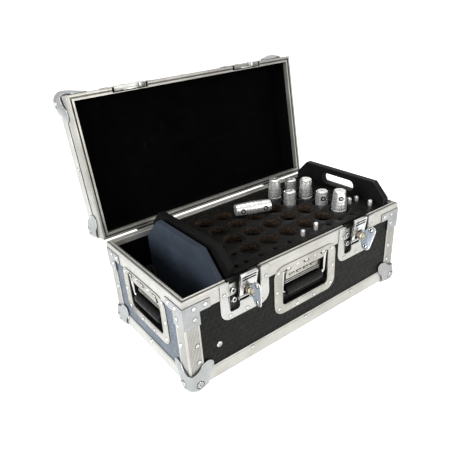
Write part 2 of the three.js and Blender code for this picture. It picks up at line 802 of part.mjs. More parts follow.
// The butterfly wing in its pin's frame: it lies flat along +X, spans Y and straddles the rotor's head.
function butterflyWing() {
  const outline = new THREE.Shape();
  outline.moveTo(0, wingArmInner);
  outline.lineTo(0, wingArmOuter);
  outline.lineTo(wingArmLength, wingArmOuter);
  outline.quadraticCurveTo(wingLobeReach / 2, wingLobeHalf, wingLobeReach, wingLobeHalf);
  outline.lineTo((wingLobeReach + wingReach) / 2, wingLobeHalf);
  outline.quadraticCurveTo(wingReach, wingLobeHalf, wingReach, wingTipHalf);
  outline.lineTo(wingReach, -wingTipHalf);
  outline.quadraticCurveTo(wingReach, -wingLobeHalf, (wingLobeReach + wingReach) / 2, -wingLobeHalf);
  outline.lineTo(wingLobeReach, -wingLobeHalf);
  outline.quadraticCurveTo(wingLobeReach / 2, -wingLobeHalf, wingArmLength, -wingArmOuter);
  outline.lineTo(0, -wingArmOuter);
  outline.lineTo(0, -wingArmInner);
  outline.lineTo(wingArmLength, -wingArmInner);
  outline.quadraticCurveTo(wingNotchDepth, -wingArmInner, wingNotchDepth, 0);
  outline.quadraticCurveTo(wingNotchDepth, wingArmInner, wingArmLength, wingArmInner);
  const plate = prism(outline, [-wingThickness / 2, wingThickness / 2], wingCurveSides);
  const knuckles = [[wingArmInner, wingArmOuter], [-wingArmOuter, -wingArmInner]].map((span) =>
    disc(wingKnuckleRadius, span, knuckleSides, turnX(Math.PI / 2)));
  const bore = disc(wingPinRadius + runningGap, [-wingLobeHalf, wingLobeHalf], pinSides, turnX(Math.PI / 2));
  const eyelets = [-1, 1].map((s) => disc(wingEyeletRadius, [-cutOverrun, cutOverrun], knuckleSides,
    move(wingEyeletReach, s * wingEyeletHalf, 0)));
  return cutAll(join([plate, ...knuckles]), [bore, ...eyelets]);
}

// The keeper welded in the lid's dish: a strip on the tub's floor, a shelf that the hook's lip lies over,
// a loop at one end and a locating ear at the other.
function keeper() {
  const back = seatGap - innerInset + dishSheet / 2;
  const front = back + dishSheet / 2 + keeperSheet;
  const half = keeperWidth / 2;
  const strip = block([-half, half], [keeperShelfRise, keeperRise], [back, front]);
  const shelfHeight = [keeperShelfRise, keeperShelfRise + keeperSheet];
  const shelf = block([-half, half], shelfHeight, [back, back + keeperShelfReach]);
  const loopAt = move(half - keeperLoopRadius, -keeperLoopDrop, 0);
  const clear = back + dishSheet / 2 + runningGap;
  const outer = front + runningGap;
  const loop = disc(keeperLoopRadius, [clear, outer], keeperLoopSides, loopAt);
  const stemHeight = [-keeperLoopDrop, keeperShelfRise + keeperSheet];
  const stem = block([half - 2 * keeperLoopRadius, half], stemHeight, [clear, outer]);
  const loopBore = disc(keeperLoopBore, [back - cutOverrun, outer + cutOverrun], keeperBoreSides, loopAt);
  const ear = disc(keeperLoopRadius, [clear, outer], keeperLoopSides, move(keeperLoopRadius - half, 0, 0));
  return join([strip, shelf, loop, stem, ear]).subtract(loopBore);
}

for (const [name, latch] of Object.entries(latches)) {
  const face = baseFaces.front;
  const mountedDish = baseDish.add(hookMount().translate([mechanismShift, 0, 0]));
  const dish = piece(`latch_${name}_dish`, face, mountedDish, zinc);
  dish.position.x = latch.u;
  const keeperDish = lidDish.add(keeper().translate([mechanismShift, 0, 0]));
  const lidPart = piece(`latch_${name}_keeper`, lidFaces.front, keeperDish, zinc);
  lidPart.position.x = latch.u;

  const hookPivot = new THREE.Group();
  hookPivot.position.set(latch.u + mechanismShift, -hookPivotDrop, -hookPivotInset);
  hookPivot.rotation.x = degrees(hookTiltDegrees * (1 - latch.turnDegrees / turnToLockDegrees));
  face.add(hookPivot);
  piece(`latch_${name}_hook_frame`, hookPivot, hookFrame(), steel);

  const rotorAxis = new THREE.Group();
  rotorAxis.position.set(latch.u + mechanismShift, -rotorDrop, 0);
  rotorAxis.rotation.z = -degrees(latch.turnDegrees);
  face.add(rotorAxis);
  piece(`latch_${name}_rotor`, rotorAxis, rotor(), steel);

  const wingPivot = new THREE.Group();
  wingPivot.position.set(0, 0, wingPinRise);
  wingPivot.rotation.y = -degrees(wingStandingDegrees);
  rotorAxis.add(wingPivot);
  piece(`latch_${name}_wing`, wingPivot, butterflyWing(), zinc);
}

// Handles

function handleDish(drop) {
  const halfW = handlePlateWidth / 2;
  const halfH = handlePlateHeight / 2;
  const outline = roundedOutline(-halfW, halfW, -halfH, halfH, handleCornerRadius, handleCornerRadius);
  const flange = steppedFlange(outline, drop - edgeLeg, 1);
  const halfO = handleOpeningWidth / 2;
  const back = -panelInset - handleTubDepth;
  const tubOutline = (grow) => roundedOutline(-halfO - grow, halfO + grow,
    handleOpeningLow - grow, handleNotchHigh + grow, handleOpeningRadius + grow, 0);
  const tub = prism(tubOutline(dishSheet), [back, flangeLow]);
  const hollow = prism(tubOutline(0), [back + dishSheet, flangeLow]);
  const through = prism(roundedOutline(-halfO, halfO, handleOpeningLow, handleOpeningHigh,
    handleOpeningRadius, handleOpeningRadius), [flangeLow - seatGap, cutOverrun]);
  const notches = [-1, 1].map((s) => {
    const across = s > 0 ? [halfO - handleNotchWidth, halfO] : [-halfO, handleNotchWidth - halfO];
    return block(across, [0, handleNotchHigh], [flangeLow - seatGap, cutOverrun]);
  });
  const shell = cutAll(flange.add(tub.subtract(hollow)), [through, ...notches]);
  const strapBore = disc(bailRadius + runningGap, [-halfO, halfO], bailSides,
    move(0, bailAxisHeight, -bailAxisInset).multiply(turnY(Math.PI / 2)));
  const straps = [-1, 1].map((s) => {
    const across = [s * bailStrapInset - bailStrapWidth / 2, s * bailStrapInset + bailStrapWidth / 2];
    const height = [bailAxisHeight - bailRadius - bailStrapLip, handleNotchHigh + seatGap];
    return block(across, height, [back + seatGap, flangeLow + seatGap]);
  });
  return join([shell, ...straps]).subtract(strapBore);
}

// A wire bail in its hinge's frame: the hinge bar along X, the arms down Y and a bar through the grip.
function bail() {
  const drop = bailAxisHeight - bailGripHeight;
  const w = bailHalfWidth;
  const r = bailBendRadius;
  const bar = disc(bailRadius, [-w - bailRadius, w + bailRadius], bailSides, alongAxis);
  const gripBar = disc(bailRadius, [r - w, w - r], bailSides, move(0, -drop, 0).multiply(alongAxis));
  const parts = [bar, gripBar];
  for (const s of [-1, 1]) {
    const arm = disc(bailRadius, [0, drop - r], bailSides, move(s * w, 0, 0).multiply(turnX(Math.PI / 2)));
    const bendPoints = [];
    for (let i = 0; i <= bailBendSides; i += 1) {
      const angle = (i / bailBendSides) * Math.PI / 2;
      const [across, along] = [w - r + r * Math.cos(angle), r - drop - r * Math.sin(angle)];
      bendPoints.push(new THREE.Vector3(s * across, along, 0));
    }
    const bend = new THREE.CatmullRomCurve3(bendPoints);
    const section = new THREE.Shape();
    section.absarc(0, 0, bailRadius, 0, 2 * Math.PI);
    const options = {
      steps: bailBendSteps, curveSegments: bailSides / 2, extrudePath: bend, bevelEnabled: false,
    };
    parts.push(arm, solidOf(new THREE.ExtrudeGeometry(section, options)));
  }
  return join(parts);
}

function grip() {
  const half = bailHalfWidth - bailBendRadius - seatGap;
  const bore = bailRadius + seatGap;
  const outside = [[gripEndRadius, -half], [gripRadius, gripEndChamfer - half]];
  for (let i = 0; i < gripRidgeCount; i += 1) {
    const centre = (i - (gripRidgeCount - 1) / 2) * (2 * half / (gripRidgeCount + 1));
    outside.push([gripRadius, centre - gripRidgeHalf], [gripRadius - gripRidgeDepth, centre],
      [gripRadius, centre + gripRidgeHalf]);
  }
  outside.push([gripRadius, half - gripEndChamfer], [gripEndRadius, half]);
  const profile = [[bore, -half], ...outside, [bore, half], [bore, -half]];
  return turned(profile, gripSides, turnY(Math.PI / 2));
}

for (const side of ['front', 'left', 'right']) {
  const drop = handleFaceDrop[side];
  const face = baseFaces[side];
  const dish = piece(`handle_${side}_dish`, face, handleDish(drop), zinc);
  dish.position.y = -drop;
  const bailPivot = new THREE.Group();
  bailPivot.position.set(0, bailAxisHeight - drop, -bailAxisInset);
  bailPivot.rotation.x = -degrees(bailTiltDegrees);
  face.add(bailPivot);
  piece(`handle_${side}_bail`, bailPivot, bail(), steel);
  const gripPart = piece(`handle_${side}_grip`, bailPivot, grip(), rubber);
  gripPart.position.y = bailGripHeight - bailAxisHeight;
}

// Lid panels

const lidPanelBottom = rimTongueHeight + seatGap + rimWeb + seatGap;
const lidGrooveRoof = rimTongueHeight + 2 * seatGap;
const lidWebTop = lidPanelBottom - seatGap;
const lidWallTop = lidHeight - innerInset - seatGap;

// The lid's four walls are glued at the corners to make one frame.
function lidWallFrame() {
  const level = [rimZ + lidPanelBottom, rimZ + lidWallTop];
  const [outerX, outerY] = [caseLength / 2 - panelInset, caseDepth / 2 - panelInset];
  const [innerX, innerY] = [caseLength / 2 - innerInset, caseDepth / 2 - innerInset];
  const inside = block([-innerX, innerX], [-innerY, innerY], [level[0] - cutOverrun, level[1] + cutOverrun]);
  const openings = Object.values(latches).map(({ u }) =>
    latchOpening(u, 1, keeperRecessRise).transform(faceMatrix('front').elements));
  return cutAll(block([-outerX, outerX], [-outerY, outerY], level), [inside, ...openings, ...lidPockets]);
}

piece('lid_wall_frame', lid, lidWallFrame(), laminate);

const lidTop = block(
  [panelInset - caseLength / 2, caseLength / 2 - panelInset],
  [panelInset - caseDepth / 2, caseDepth / 2 - panelInset],
  [lidTopZ - innerInset, lidTopZ - panelInset],
);
piece('lid_top_panel', lid, cutAll(lidTop, lidPockets), laminate);

// Lid edging

const grooveRimSection = [
  [0, edgeLeg], [0, seatGap + rimChamfer], [rimChamfer, seatGap],
  [rimTongueNear - 2 * runningGap, seatGap], [rimTongueNear - 2 * runningGap, lidGrooveRoof],
  [rimTongueFar + 2 * runningGap, lidGrooveRoof], [rimTongueFar + 2 * runningGap, seatGap],
  [rimInnerFar, seatGap], [rimInnerFar, rimInnerDrop + seatGap], [rimInnerNear, rimInnerDrop + seatGap],
  [rimInnerNear, lidWebTop], [edgeWall, lidWebTop], [edgeWall, edgeLeg],
];

piece('lid_rim', lid, rimRing(grooveRimSection), aluminium);
piece('lid_edging', lid, edging(lidTopZ, -1, lidHeight, lidPockets), aluminium);
cornerPieces('lid_ball_corner', lid, corner, lidTopZ, -1, zinc);

// Divider and its angle brackets

const dividerX = dividerLeft - caseLength / 2;
const dividerHalf = caseDepth / 2 - rimInnerFar - dividerEndGap;
const cabinetFloor = panelThickness + seatGap;
const dividerTop = rimZ + dividerRise;

// A board across the case: an outline in [Y, Z] given its thickness along X.
function crossBoard([x0, x1], halfDepth, [z0, z1], chamfer, holes = []) {
  const outline = polygon([
    [-halfDepth, z0], [halfDepth, z0], [halfDepth, z1 - chamfer],
    [halfDepth - chamfer, z1], [chamfer - halfDepth, z1], [-halfDepth, z1 - chamfer],
  ]);
  outline.holes.push(...holes);
  const stand = new THREE.Matrix4().set(0, 0, 1, 0, 1, 0, 0, 0, 0, 1, 0, 0, 0, 0, 0, 1);
  return prism(outline, [x0, x1], handHoleSides, stand);
}

const dividerSpan = [dividerX, dividerX + dividerThickness];
const divider = crossBoard(dividerSpan, dividerHalf, [cabinetFloor, dividerTop], dividerChamfer);
piece('compartment_divider', base, divider, blueBoard);

function dividerBracket(s) {
  const wall = caseDepth / 2 - innerInset - seatGap;
  const right = dividerX - seatGap;
  const height = [bracketRise, bracketRise + bracketHeight];
  const onWall = s > 0 ? [wall - bracketSheet, wall] : [-wall, bracketSheet - wall];
  const onBoard = s > 0 ? [wall - bracketLeg, wall] : [-wall, bracketLeg - wall];
  const wallLeg = block([right - bracketLeg, right], onWall, height);
  return wallLeg.add(block([right - bracketSheet, right], onBoard, height));
}

piece('divider_bracket_front', base, dividerBracket(-1), steel);
piece('divider_bracket_rear', base, dividerBracket(1), steel);

// Tray

const tray = new THREE.Group();
base.add(tray);
const trayX0 = dividerX + dividerThickness + trayDividerGap;
const trayX1 = caseLength / 2 - rimInnerFar - trayEndGap;
const trayCentre = (trayX0 + trayX1) / 2;
const trayHalfDepth = caseDepth / 2 - rimInnerFar - traySideGap;
const boardTop = rimZ + boardRise;
const plateTop = rimZ - plateDrop;
const shelfTop = plateTop - shelfDrop;

function handHole() {
  const r = handHoleHeight / 2;
  const reach = handHoleLength / 2 - r;
  const level = rimZ + handHoleRise;
  const slot = new THREE.Path();
  slot.moveTo(-reach, level - r);
  slot.lineTo(reach, level - r);
  slot.absarc(reach, level, r, -Math.PI / 2, Math.PI / 2);
  slot.lineTo(-reach, level + r);
  slot.absarc(-reach, level, r, Math.PI / 2, 1.5 * Math.PI);
  return slot;
}

const boardSpan = [cabinetFloor, boardTop];
const leftSpan = [trayX0, trayX0 + boardThickness];
const rightSpan = [trayX1 - boardThickness, trayX1];
const leftBoard = crossBoard(leftSpan, trayHalfDepth, boardSpan, boardChamfer, [handHole()]);
const rightBoard = crossBoard(rightSpan, trayHalfDepth, boardSpan, boardChamfer, [handHole()]);
piece('tray_left_board', tray, leftBoard, board);
piece('tray_right_board', tray, rightBoard, board);

const plateX = [trayX0 + boardThickness + seatGap, trayX1 - boardThickness - seatGap];
const plateHalfDepth = trayHalfDepth - plateSideGap;

// How many holes at a pitch fit between two ends at the same reach from the middle.
const holesWithin = (reach, pitch) => 1 + Math.floor(2 * reach / pitch);

const smallHoleOuterColumn = (plateX[1] - plateX[0]) / 2 - smallHoleOuterInset;
const smallHoleColumns = holesWithin(smallHoleOuterColumn - smallHoleOuterStep, smallHolePitchX);
const smallHoleRows = holesWithin(plateHalfDepth - smallHoleSideMargin, smallHolePitchY);
const holeSpacing = largeHoleRadius + smallHoleRadius + holeWeb;
const smallHoleReachX = (smallHoleColumns - 1) / 2 * smallHolePitchX;
const smallHoleReachY = (smallHoleRows - 1) / 2 * smallHolePitchY;
const largeHoleColumns = holesWithin(smallHoleReachX - holeSpacing, largeHolePitch);
const largeHoleRows = holesWithin(smallHoleReachY - holeSpacing, largeHolePitch);

// Where the holes are, from the plate's middle.
function largeHoleAt(column, row) {
  const x = (column - (largeHoleColumns - 1) / 2) * largeHolePitch;
  const y = (row - (largeHoleRows - 1) / 2) * largeHolePitch;
  return [trayCentre + x, y];
}

function smallHoleAt(column, row) {
  const last = smallHoleColumns - 1;
  const inner = column * smallHolePitchX - smallHoleReachX;
  const outer = column < 0 ? -smallHoleOuterColumn : smallHoleOuterColumn;
  const x = column < 0 || column > last ? outer : inner;
  const y = row * smallHolePitchY - smallHoleReachY;
  return [trayCentre + x, y];
}

function perforatedPlate() {
  const [x0, x1] = plateX;
  const outline = polygon([
    [x0, -plateHalfDepth], [x1, -plateHalfDepth], [x1, plateHalfDepth], [x0, plateHalfDepth],
  ]);
  const large = [];
  for (let column = 0; column < largeHoleColumns; column += 1) {
    for (let row = 0; row < largeHoleRows; row += 1) {
      large.push(disc(largeHoleRadius, [-plateThickness, plateThickness], largeHoleSides,
        move(...largeHoleAt(column, row), 0)));
    }
  }
  const small = [];
  const sideColumns = [-1, 0, smallHoleColumns - 1, smallHoleColumns];
  for (let row = 0; row < smallHoleRows; row += 1) {
    const whole = row === 0 || row === smallHoleRows - 1;
    for (let column = -1; column <= smallHoleColumns; column += 1) {
      if (!whole && !sideColumns.includes(column)) continue;
      small.push(disc(smallHoleRadius, [-plateThickness, plateThickness], smallHoleSides,
        move(...smallHoleAt(column, row), 0)));
    }
  }
  const plate = prism(outline, [-plateThickness / 2, plateThickness / 2]);
  return cutAll(plate, [...large, ...small]).translate([0, 0, plateTop - plateThickness / 2]);
}

piece('tray_plate', tray, perforatedPlate(), board);
const shelf = block(plateX, [-plateHalfDepth, plateHalfDepth], [shelfTop - shelfThickness, shelfTop]);
piece('tray_shelf', tray, shelf, board);

// Contents

// A conical coupler on its end, with a cross hole through each cone.
function coupler(length, waistRadius, boreTurn) {
  const half = length / 2;
  const end = couplerTopRadius - couplerChamfer;
  const profile = [
    [0, -half], [end, -half], [couplerTopRadius, couplerChamfer - half], [waistRadius, -couplerChamfer],
    [waistRadius, couplerChamfer], [couplerTopRadius, half - couplerChamfer], [end, half], [0, half],
  ];
  const body = turned(profile, couplerSides);
  const boreHeight = half - couplerBoreInset - couplerChamfer;
  const boreReach = [-2 * waistRadius, 2 * waistRadius];
  const bores = [-1, 1].map((s) => disc(couplerBoreRadius, boreReach, couplerBoreSides,
    turnZ(boreTurn).multiply(move(0, 0, s * boreHeight)).multiply(turnX(Math.PI / 2))));
  return cutAll(body, bores);
}

const towardsViewer = degrees(towardsViewerDegrees);
const acrossView = degrees(acrossViewDegrees);
const lastColumn = largeHoleColumns - 1;
const standing = [
  { column: lastColumn, row: 0, length: couplerLong, waist: wideWaistRadius, bore: towardsViewer },
  { column: lastColumn, row: 1, length: couplerShort, waist: slimWaistRadius, bore: towardsViewer },
  { column: lastColumn, row: 2, length: couplerLong, waist: middleWaistRadius, bore: acrossView },
  { column: lastColumn, row: 3, length: couplerShort, waist: slimWaistRadius, bore: acrossView },
  { column: lastColumn - 1, row: 2, length: couplerShort, waist: slimWaistRadius, bore: acrossView },
  { column: lastColumn - 1, row: 3, length: couplerLong, waist: middleWaistRadius, bore: acrossView },
];

standing.filter(({ row }) => row < largeHoleRows).forEach(({ column, row, length, waist, bore }, i) => {
  const [x, y] = largeHoleAt(column, row);
  const placed = coupler(length, waist, bore).translate([x, y, shelfTop + seatGap + length / 2]);
  piece(`standing_coupler_${i + 1}`, tray, placed, turnedAluminium);
});

const lyingCoupler = piece('lying_coupler', tray, coupler(couplerLong, slimWaistRadius, 0), turnedAluminium);
lyingCoupler.rotation.order = 'ZYX';
lyingCoupler.rotation.set(0, Math.PI / 2, degrees(lyingTurnDegrees));
const lyingCentreX = largeHoleAt(lastColumn - 1, 0)[0] - lyingFromStanding;
lyingCoupler.position.set(lyingCentreX, lyingCentreY, plateTop + seatGap + slimWaistRadius);

export default truss_case;
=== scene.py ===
import bmesh
import bpy
import math
from mathutils import Matrix, Vector


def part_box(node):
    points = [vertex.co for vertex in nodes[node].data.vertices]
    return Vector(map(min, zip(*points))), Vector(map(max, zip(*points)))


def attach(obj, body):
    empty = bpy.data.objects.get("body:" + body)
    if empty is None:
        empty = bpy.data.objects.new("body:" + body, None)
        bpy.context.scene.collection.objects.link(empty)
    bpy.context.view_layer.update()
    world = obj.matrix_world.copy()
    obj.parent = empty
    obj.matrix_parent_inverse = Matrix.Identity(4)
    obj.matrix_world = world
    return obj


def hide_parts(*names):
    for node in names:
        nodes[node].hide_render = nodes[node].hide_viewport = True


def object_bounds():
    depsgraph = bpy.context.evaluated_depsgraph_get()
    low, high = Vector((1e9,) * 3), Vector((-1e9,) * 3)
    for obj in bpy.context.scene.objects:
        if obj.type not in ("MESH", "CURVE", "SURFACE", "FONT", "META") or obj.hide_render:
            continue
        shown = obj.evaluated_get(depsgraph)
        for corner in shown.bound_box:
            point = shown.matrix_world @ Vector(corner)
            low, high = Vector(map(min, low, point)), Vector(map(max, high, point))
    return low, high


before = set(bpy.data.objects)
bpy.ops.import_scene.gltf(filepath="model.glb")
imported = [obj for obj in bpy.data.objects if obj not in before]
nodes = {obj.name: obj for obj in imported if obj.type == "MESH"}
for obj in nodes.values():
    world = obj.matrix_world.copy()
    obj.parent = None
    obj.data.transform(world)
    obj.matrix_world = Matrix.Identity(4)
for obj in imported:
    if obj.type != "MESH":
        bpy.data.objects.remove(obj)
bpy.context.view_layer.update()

# Sizes, in millimetres, from the middle of the bottom panel's underside, +Y to the back
MM = 0.001
UNIT = Matrix.Scale(MM, 4)
CASE_X, CASE_Y = 600.0, 310.0
BASE_HEIGHT, LID_HEIGHT = 202.0, 72.0
HALF_X, HALF_Y = CASE_X / 2, CASE_Y / 2
FLOOR_Z = -1.8
RIM_Z = FLOOR_Z + BASE_HEIGHT
LID_TOP = RIM_Z + LID_HEIGHT
EDGE_LEG = 32.0
SKIN = 1.5
PANEL_STEP = 1.8
CORNER_SKIN = 1.8
ON_EDGING, ON_PANEL = SKIN, SKIN - PANEL_STEP
INNER = 10.8
LID_OPEN = math.radians(98.3)
HINGE_Y, HINGE_Z = HALF_Y + 4.1, RIM_Z - 4.7
LATCH_U = {"left": -161.0, "right": 156.0}
LATCH_TURN = {"left": 0.0, "right": 27.0}
LATCH_SHIFT = 5.5
DISH_FLOOR = -9.3
HANDLE_DROP = {"front": 79.5, "left": 84.0, "right": 84.0}
TRAY_X = 46.0
PLATE_TOP = RIM_Z - 2.0
SHELF_TOP = RIM_Z - 42.0


def rot(axis, degrees):
    return Matrix.Rotation(math.radians(degrees), 4, axis)


def at(x, y, z):
    return Matrix.Translation((x, y, z))


# The lid's pieces are made closed and then swung open about the hinge.
LID = at(0, HINGE_Y, HINGE_Z) @ Matrix.Rotation(-LID_OPEN, 4, "X") @ at(0, -HINGE_Y, -HINGE_Z)

# For each side: the way along it, the way out of it, and how far out it lies.
SIDES = {
    "front": ((1, 0), (0, -1), HALF_Y),
    "back": ((-1, 0), (0, 1), HALF_Y),
    "left": ((0, -1), (-1, 0), HALF_X),
    "right": ((0, 1), (1, 0), HALF_X),
}


def face(side, u=0.0):
    """Matrix whose X runs along a side of the case, Y points up from the rim and Z points out of it."""
    (ax, ay), (ox, oy), out = SIDES[side]
    x, y = ax * u + ox * out, ay * u + oy * out
    return Matrix(((ax, 0, ox, x), (ay, 0, oy, y), (0, 1, 0, RIM_Z), (0, 0, 0, 1)))


def facing(axis):
    """Matrix that lays the Z of a turned form along an axis."""
    return Vector(axis).to_track_quat("Z", "Y").to_matrix().to_4x4()


def linked(name, data):
    """A new object in the scene."""
    obj = bpy.data.objects.new(name, data)
    bpy.context.scene.collection.objects.link(obj)
    return obj


def evaluated(obj):
    """The object's mesh with its curve or its modifiers worked out."""
    bpy.context.view_layer.update()
    return bpy.data.meshes.new_from_object(obj.evaluated_get(bpy.context.evaluated_depsgraph_get()))


def mesh_of(name, fill):
    """A mesh made by a function that fills a bmesh."""
    bm = bmesh.new()
    fill(bm)
    mesh = bpy.data.meshes.new(name)
    bm.to_mesh(mesh)
    bm.free()
    return mesh


def cut_with(obj, cutter):
    mod = obj.modifiers.new("cut", "BOOLEAN")
    mod.operation = "DIFFERENCE"
    mod.solver = "EXACT"
    mod.object = cutter


# Camera, fitted to the photograph
FOCAL_PX, PICTURE_PX = 467.445, 450.0
CENTRE_PX = (222.992, 234.187)
SENSOR = 36
CAMERA_AZ, CAMERA_EL, CAMERA_ROLL = -34.44, 27.19, -4.456
CAMERA_AT = (-0.603468, -0.740104, 0.66299)


def camera():
    az, el, roll = math.radians(CAMERA_AZ), math.radians(CAMERA_EL), math.radians(CAMERA_ROLL)
    back = Vector((math.sin(az) * math.cos(el), -math.cos(az) * math.cos(el), math.sin(el)))
    level = Vector((math.cos(az), math.sin(az), 0))
    upright = back.cross(level)
    right = math.cos(roll) * level + math.sin(roll) * upright
    up = -math.sin(roll) * level + math.cos(roll) * upright
    data = bpy.data.cameras.new("camera")
    data.sensor_width = SENSOR
    data.lens = FOCAL_PX / PICTURE_PX * SENSOR
    data.shift_x = (PICTURE_PX / 2 - CENTRE_PX[0]) / PICTURE_PX
    data.shift_y = (CENTRE_PX[1] - PICTURE_PX / 2) / PICTURE_PX
    data.clip_start = 0.01
    data.clip_end = 50
    obj = linked("camera", data)
    rows = [(right[i], up[i], back[i], CAMERA_AT[i]) for i in range(3)]
    obj.matrix_world = Matrix((*rows, (0, 0, 0, 1)))
    bpy.context.scene.camera = obj


# Node helpers
class Tree:
    """A short way to build a node tree."""

    def __init__(self, tree):
        self.tree = tree
        tree.nodes.clear()

    def new(self, kind, **values):
        node = self.tree.nodes.new(kind)
        for key, value in values.items():
            setattr(node, key, value)
        return node

    def put(self, socket, value):
        if hasattr(value, "is_output"):
            self.tree.links.new(value, socket)
        else:
            socket.default_value = value

    def made(self, kind, *inputs, **values):
        """The first output of a new node whose first inputs are given."""
        node = self.new(kind, **values)
        for socket, value in zip(node.inputs, inputs):
            self.put(socket, value)
        return node.outputs[0]

    def math(self, op, a, b=0.0):
        return self.made("ShaderNodeMath", a, b, operation=op)

    def vec(self, op, a, b=(0, 0, 0)):
        node = self.new("ShaderNodeVectorMath", operation=op)
        self.put(node.inputs[0], a)
        self.put(node.inputs["Scale" if op == "SCALE" else 1], b)
        return node.outputs["Value" if op == "DOT_PRODUCT" else 0]

    def split(self, a):
        node = self.new("ShaderNodeSeparateXYZ")
        self.put(node.inputs[0], a)
        return node.outputs

    def merge(self, x, y):
        return self.made("ShaderNodeCombineXYZ", x, y)

    def span(self, fac, a0, a1, b0, b1):
        return self.made("ShaderNodeMapRange", fac, a0, a1, b0, b1)

    def mix(self, fac, a, b, blend="MIX"):
        node = self.new("ShaderNodeMix", data_type="RGBA", blend_type=blend)
        self.put(node.inputs[0], fac)
        for socket, value in ((node.inputs[6], a), (node.inputs[7], b)):
            self.put(socket, value if hasattr(value, "is_output") else (*value, 1))
        return node.outputs[2]

    def ramp(self, fac, tones):
        node = self.new("ShaderNodeValToRGB")
        elements = node.color_ramp.elements
        for i, (place, tone) in enumerate(tones):
            while len(elements) <= i:
                elements.new(1.0)
            elements[i].position = place
            elements[i].color = (*tone, 1)
        self.put(node.inputs[0], fac)
        return node.outputs[0]

    def seen(self):
        """1 for what the camera sees, directly, through something clear or in a reflection."""
        rays = self.new("ShaderNodeLightPath").outputs
        direct = self.math("MAXIMUM", rays["Is Camera Ray"], rays["Is Transmission Ray"])
        return self.math("MAXIMUM", direct, rays["Is Glossy Ray"])


class Nodes(Tree):
    """A material's node tree with its main shader."""

    def __init__(self, name):
        self.mat = bpy.data.materials.new(name)
        self.mat.use_nodes = True
        super().__init__(self.mat.node_tree)
        out = self.new("ShaderNodeOutputMaterial")
        self.bsdf = self.new("ShaderNodeBsdfPrincipled")
        self.put(out.inputs[0], self.bsdf.outputs[0])
        self.coords = self.new("ShaderNodeTexCoord").outputs["Object"]

    def set(self, **values):
        for key, value in values.items():
            self.put(self.bsdf.inputs[key.replace("_", " ")], value)

    def noise(self, scale, detail=3.0, rough=0.55, stretch=None):
        node = self.new("ShaderNodeTexNoise")
        node.inputs["Scale"].default_value = scale
        node.inputs["Detail"].default_value = detail
        node.inputs["Roughness"].default_value = rough
        source = self.vec("MULTIPLY", self.coords, stretch) if stretch else self.coords
        self.put(node.inputs["Vector"], source)
        return node.outputs["Fac"]

    def cells(self, scale):
        node = self.new("ShaderNodeTexVoronoi")
        node.inputs["Scale"].default_value = scale
        self.put(node.inputs["Vector"], self.coords)
        return node.outputs["Distance"]

    def bump(self, height, strength, distance):
        node = self.new("ShaderNodeBump")
        node.inputs["Strength"].default_value = strength
        node.inputs["Distance"].default_value = distance
        self.put(node.inputs["Height"], height)
        return node.outputs[0]

    def painted_crevice_shade(self, base, distance, depth):
        """Painted shade: the colour darkened by ambient occlusion where surfaces meet within a distance."""
        node = self.new("ShaderNodeAmbientOcclusion", samples=8)
        node.inputs["Distance"].default_value = distance
        shade = self.span(node.outputs["AO"], 0.35, 0.85, 1.0 - depth, 1.0)
        return self.mix(1.0, base, shade, "MULTIPLY")

    def edge_wear(self, size):
        """1 at worn edges: where a bevelled normal leaves the true one."""
        bevel = self.new("ShaderNodeBevel", samples=4)
        bevel.inputs["Radius"].default_value = size
        true = self.new("ShaderNodeNewGeometry").outputs["Normal"]
        dot = self.vec("DOT_PRODUCT", bevel.outputs[0], true)
        return self.span(self.math("SUBTRACT", 1.0, dot), 0.03, 0.15, 0.0, 1.0)


def rgb(code):
    """A colour written as six hex digits, as the linear value a shader takes."""
    parts = [int(code[i:i + 2], 16) / 255 for i in (0, 2, 4)]
    return tuple(p / 12.92 if p <= 0.04045 else ((p + 0.055) / 1.055) ** 2.4 for p in parts)


def scaled(colour, factor, lift=0.0):
    return tuple(min(1, c * factor + lift) for c in colour)


# Materials
EVEN, ALONG_Z, ALONG_X = (1, 1, 1), (1, 1, 0.02), (0.02, 1, 1)
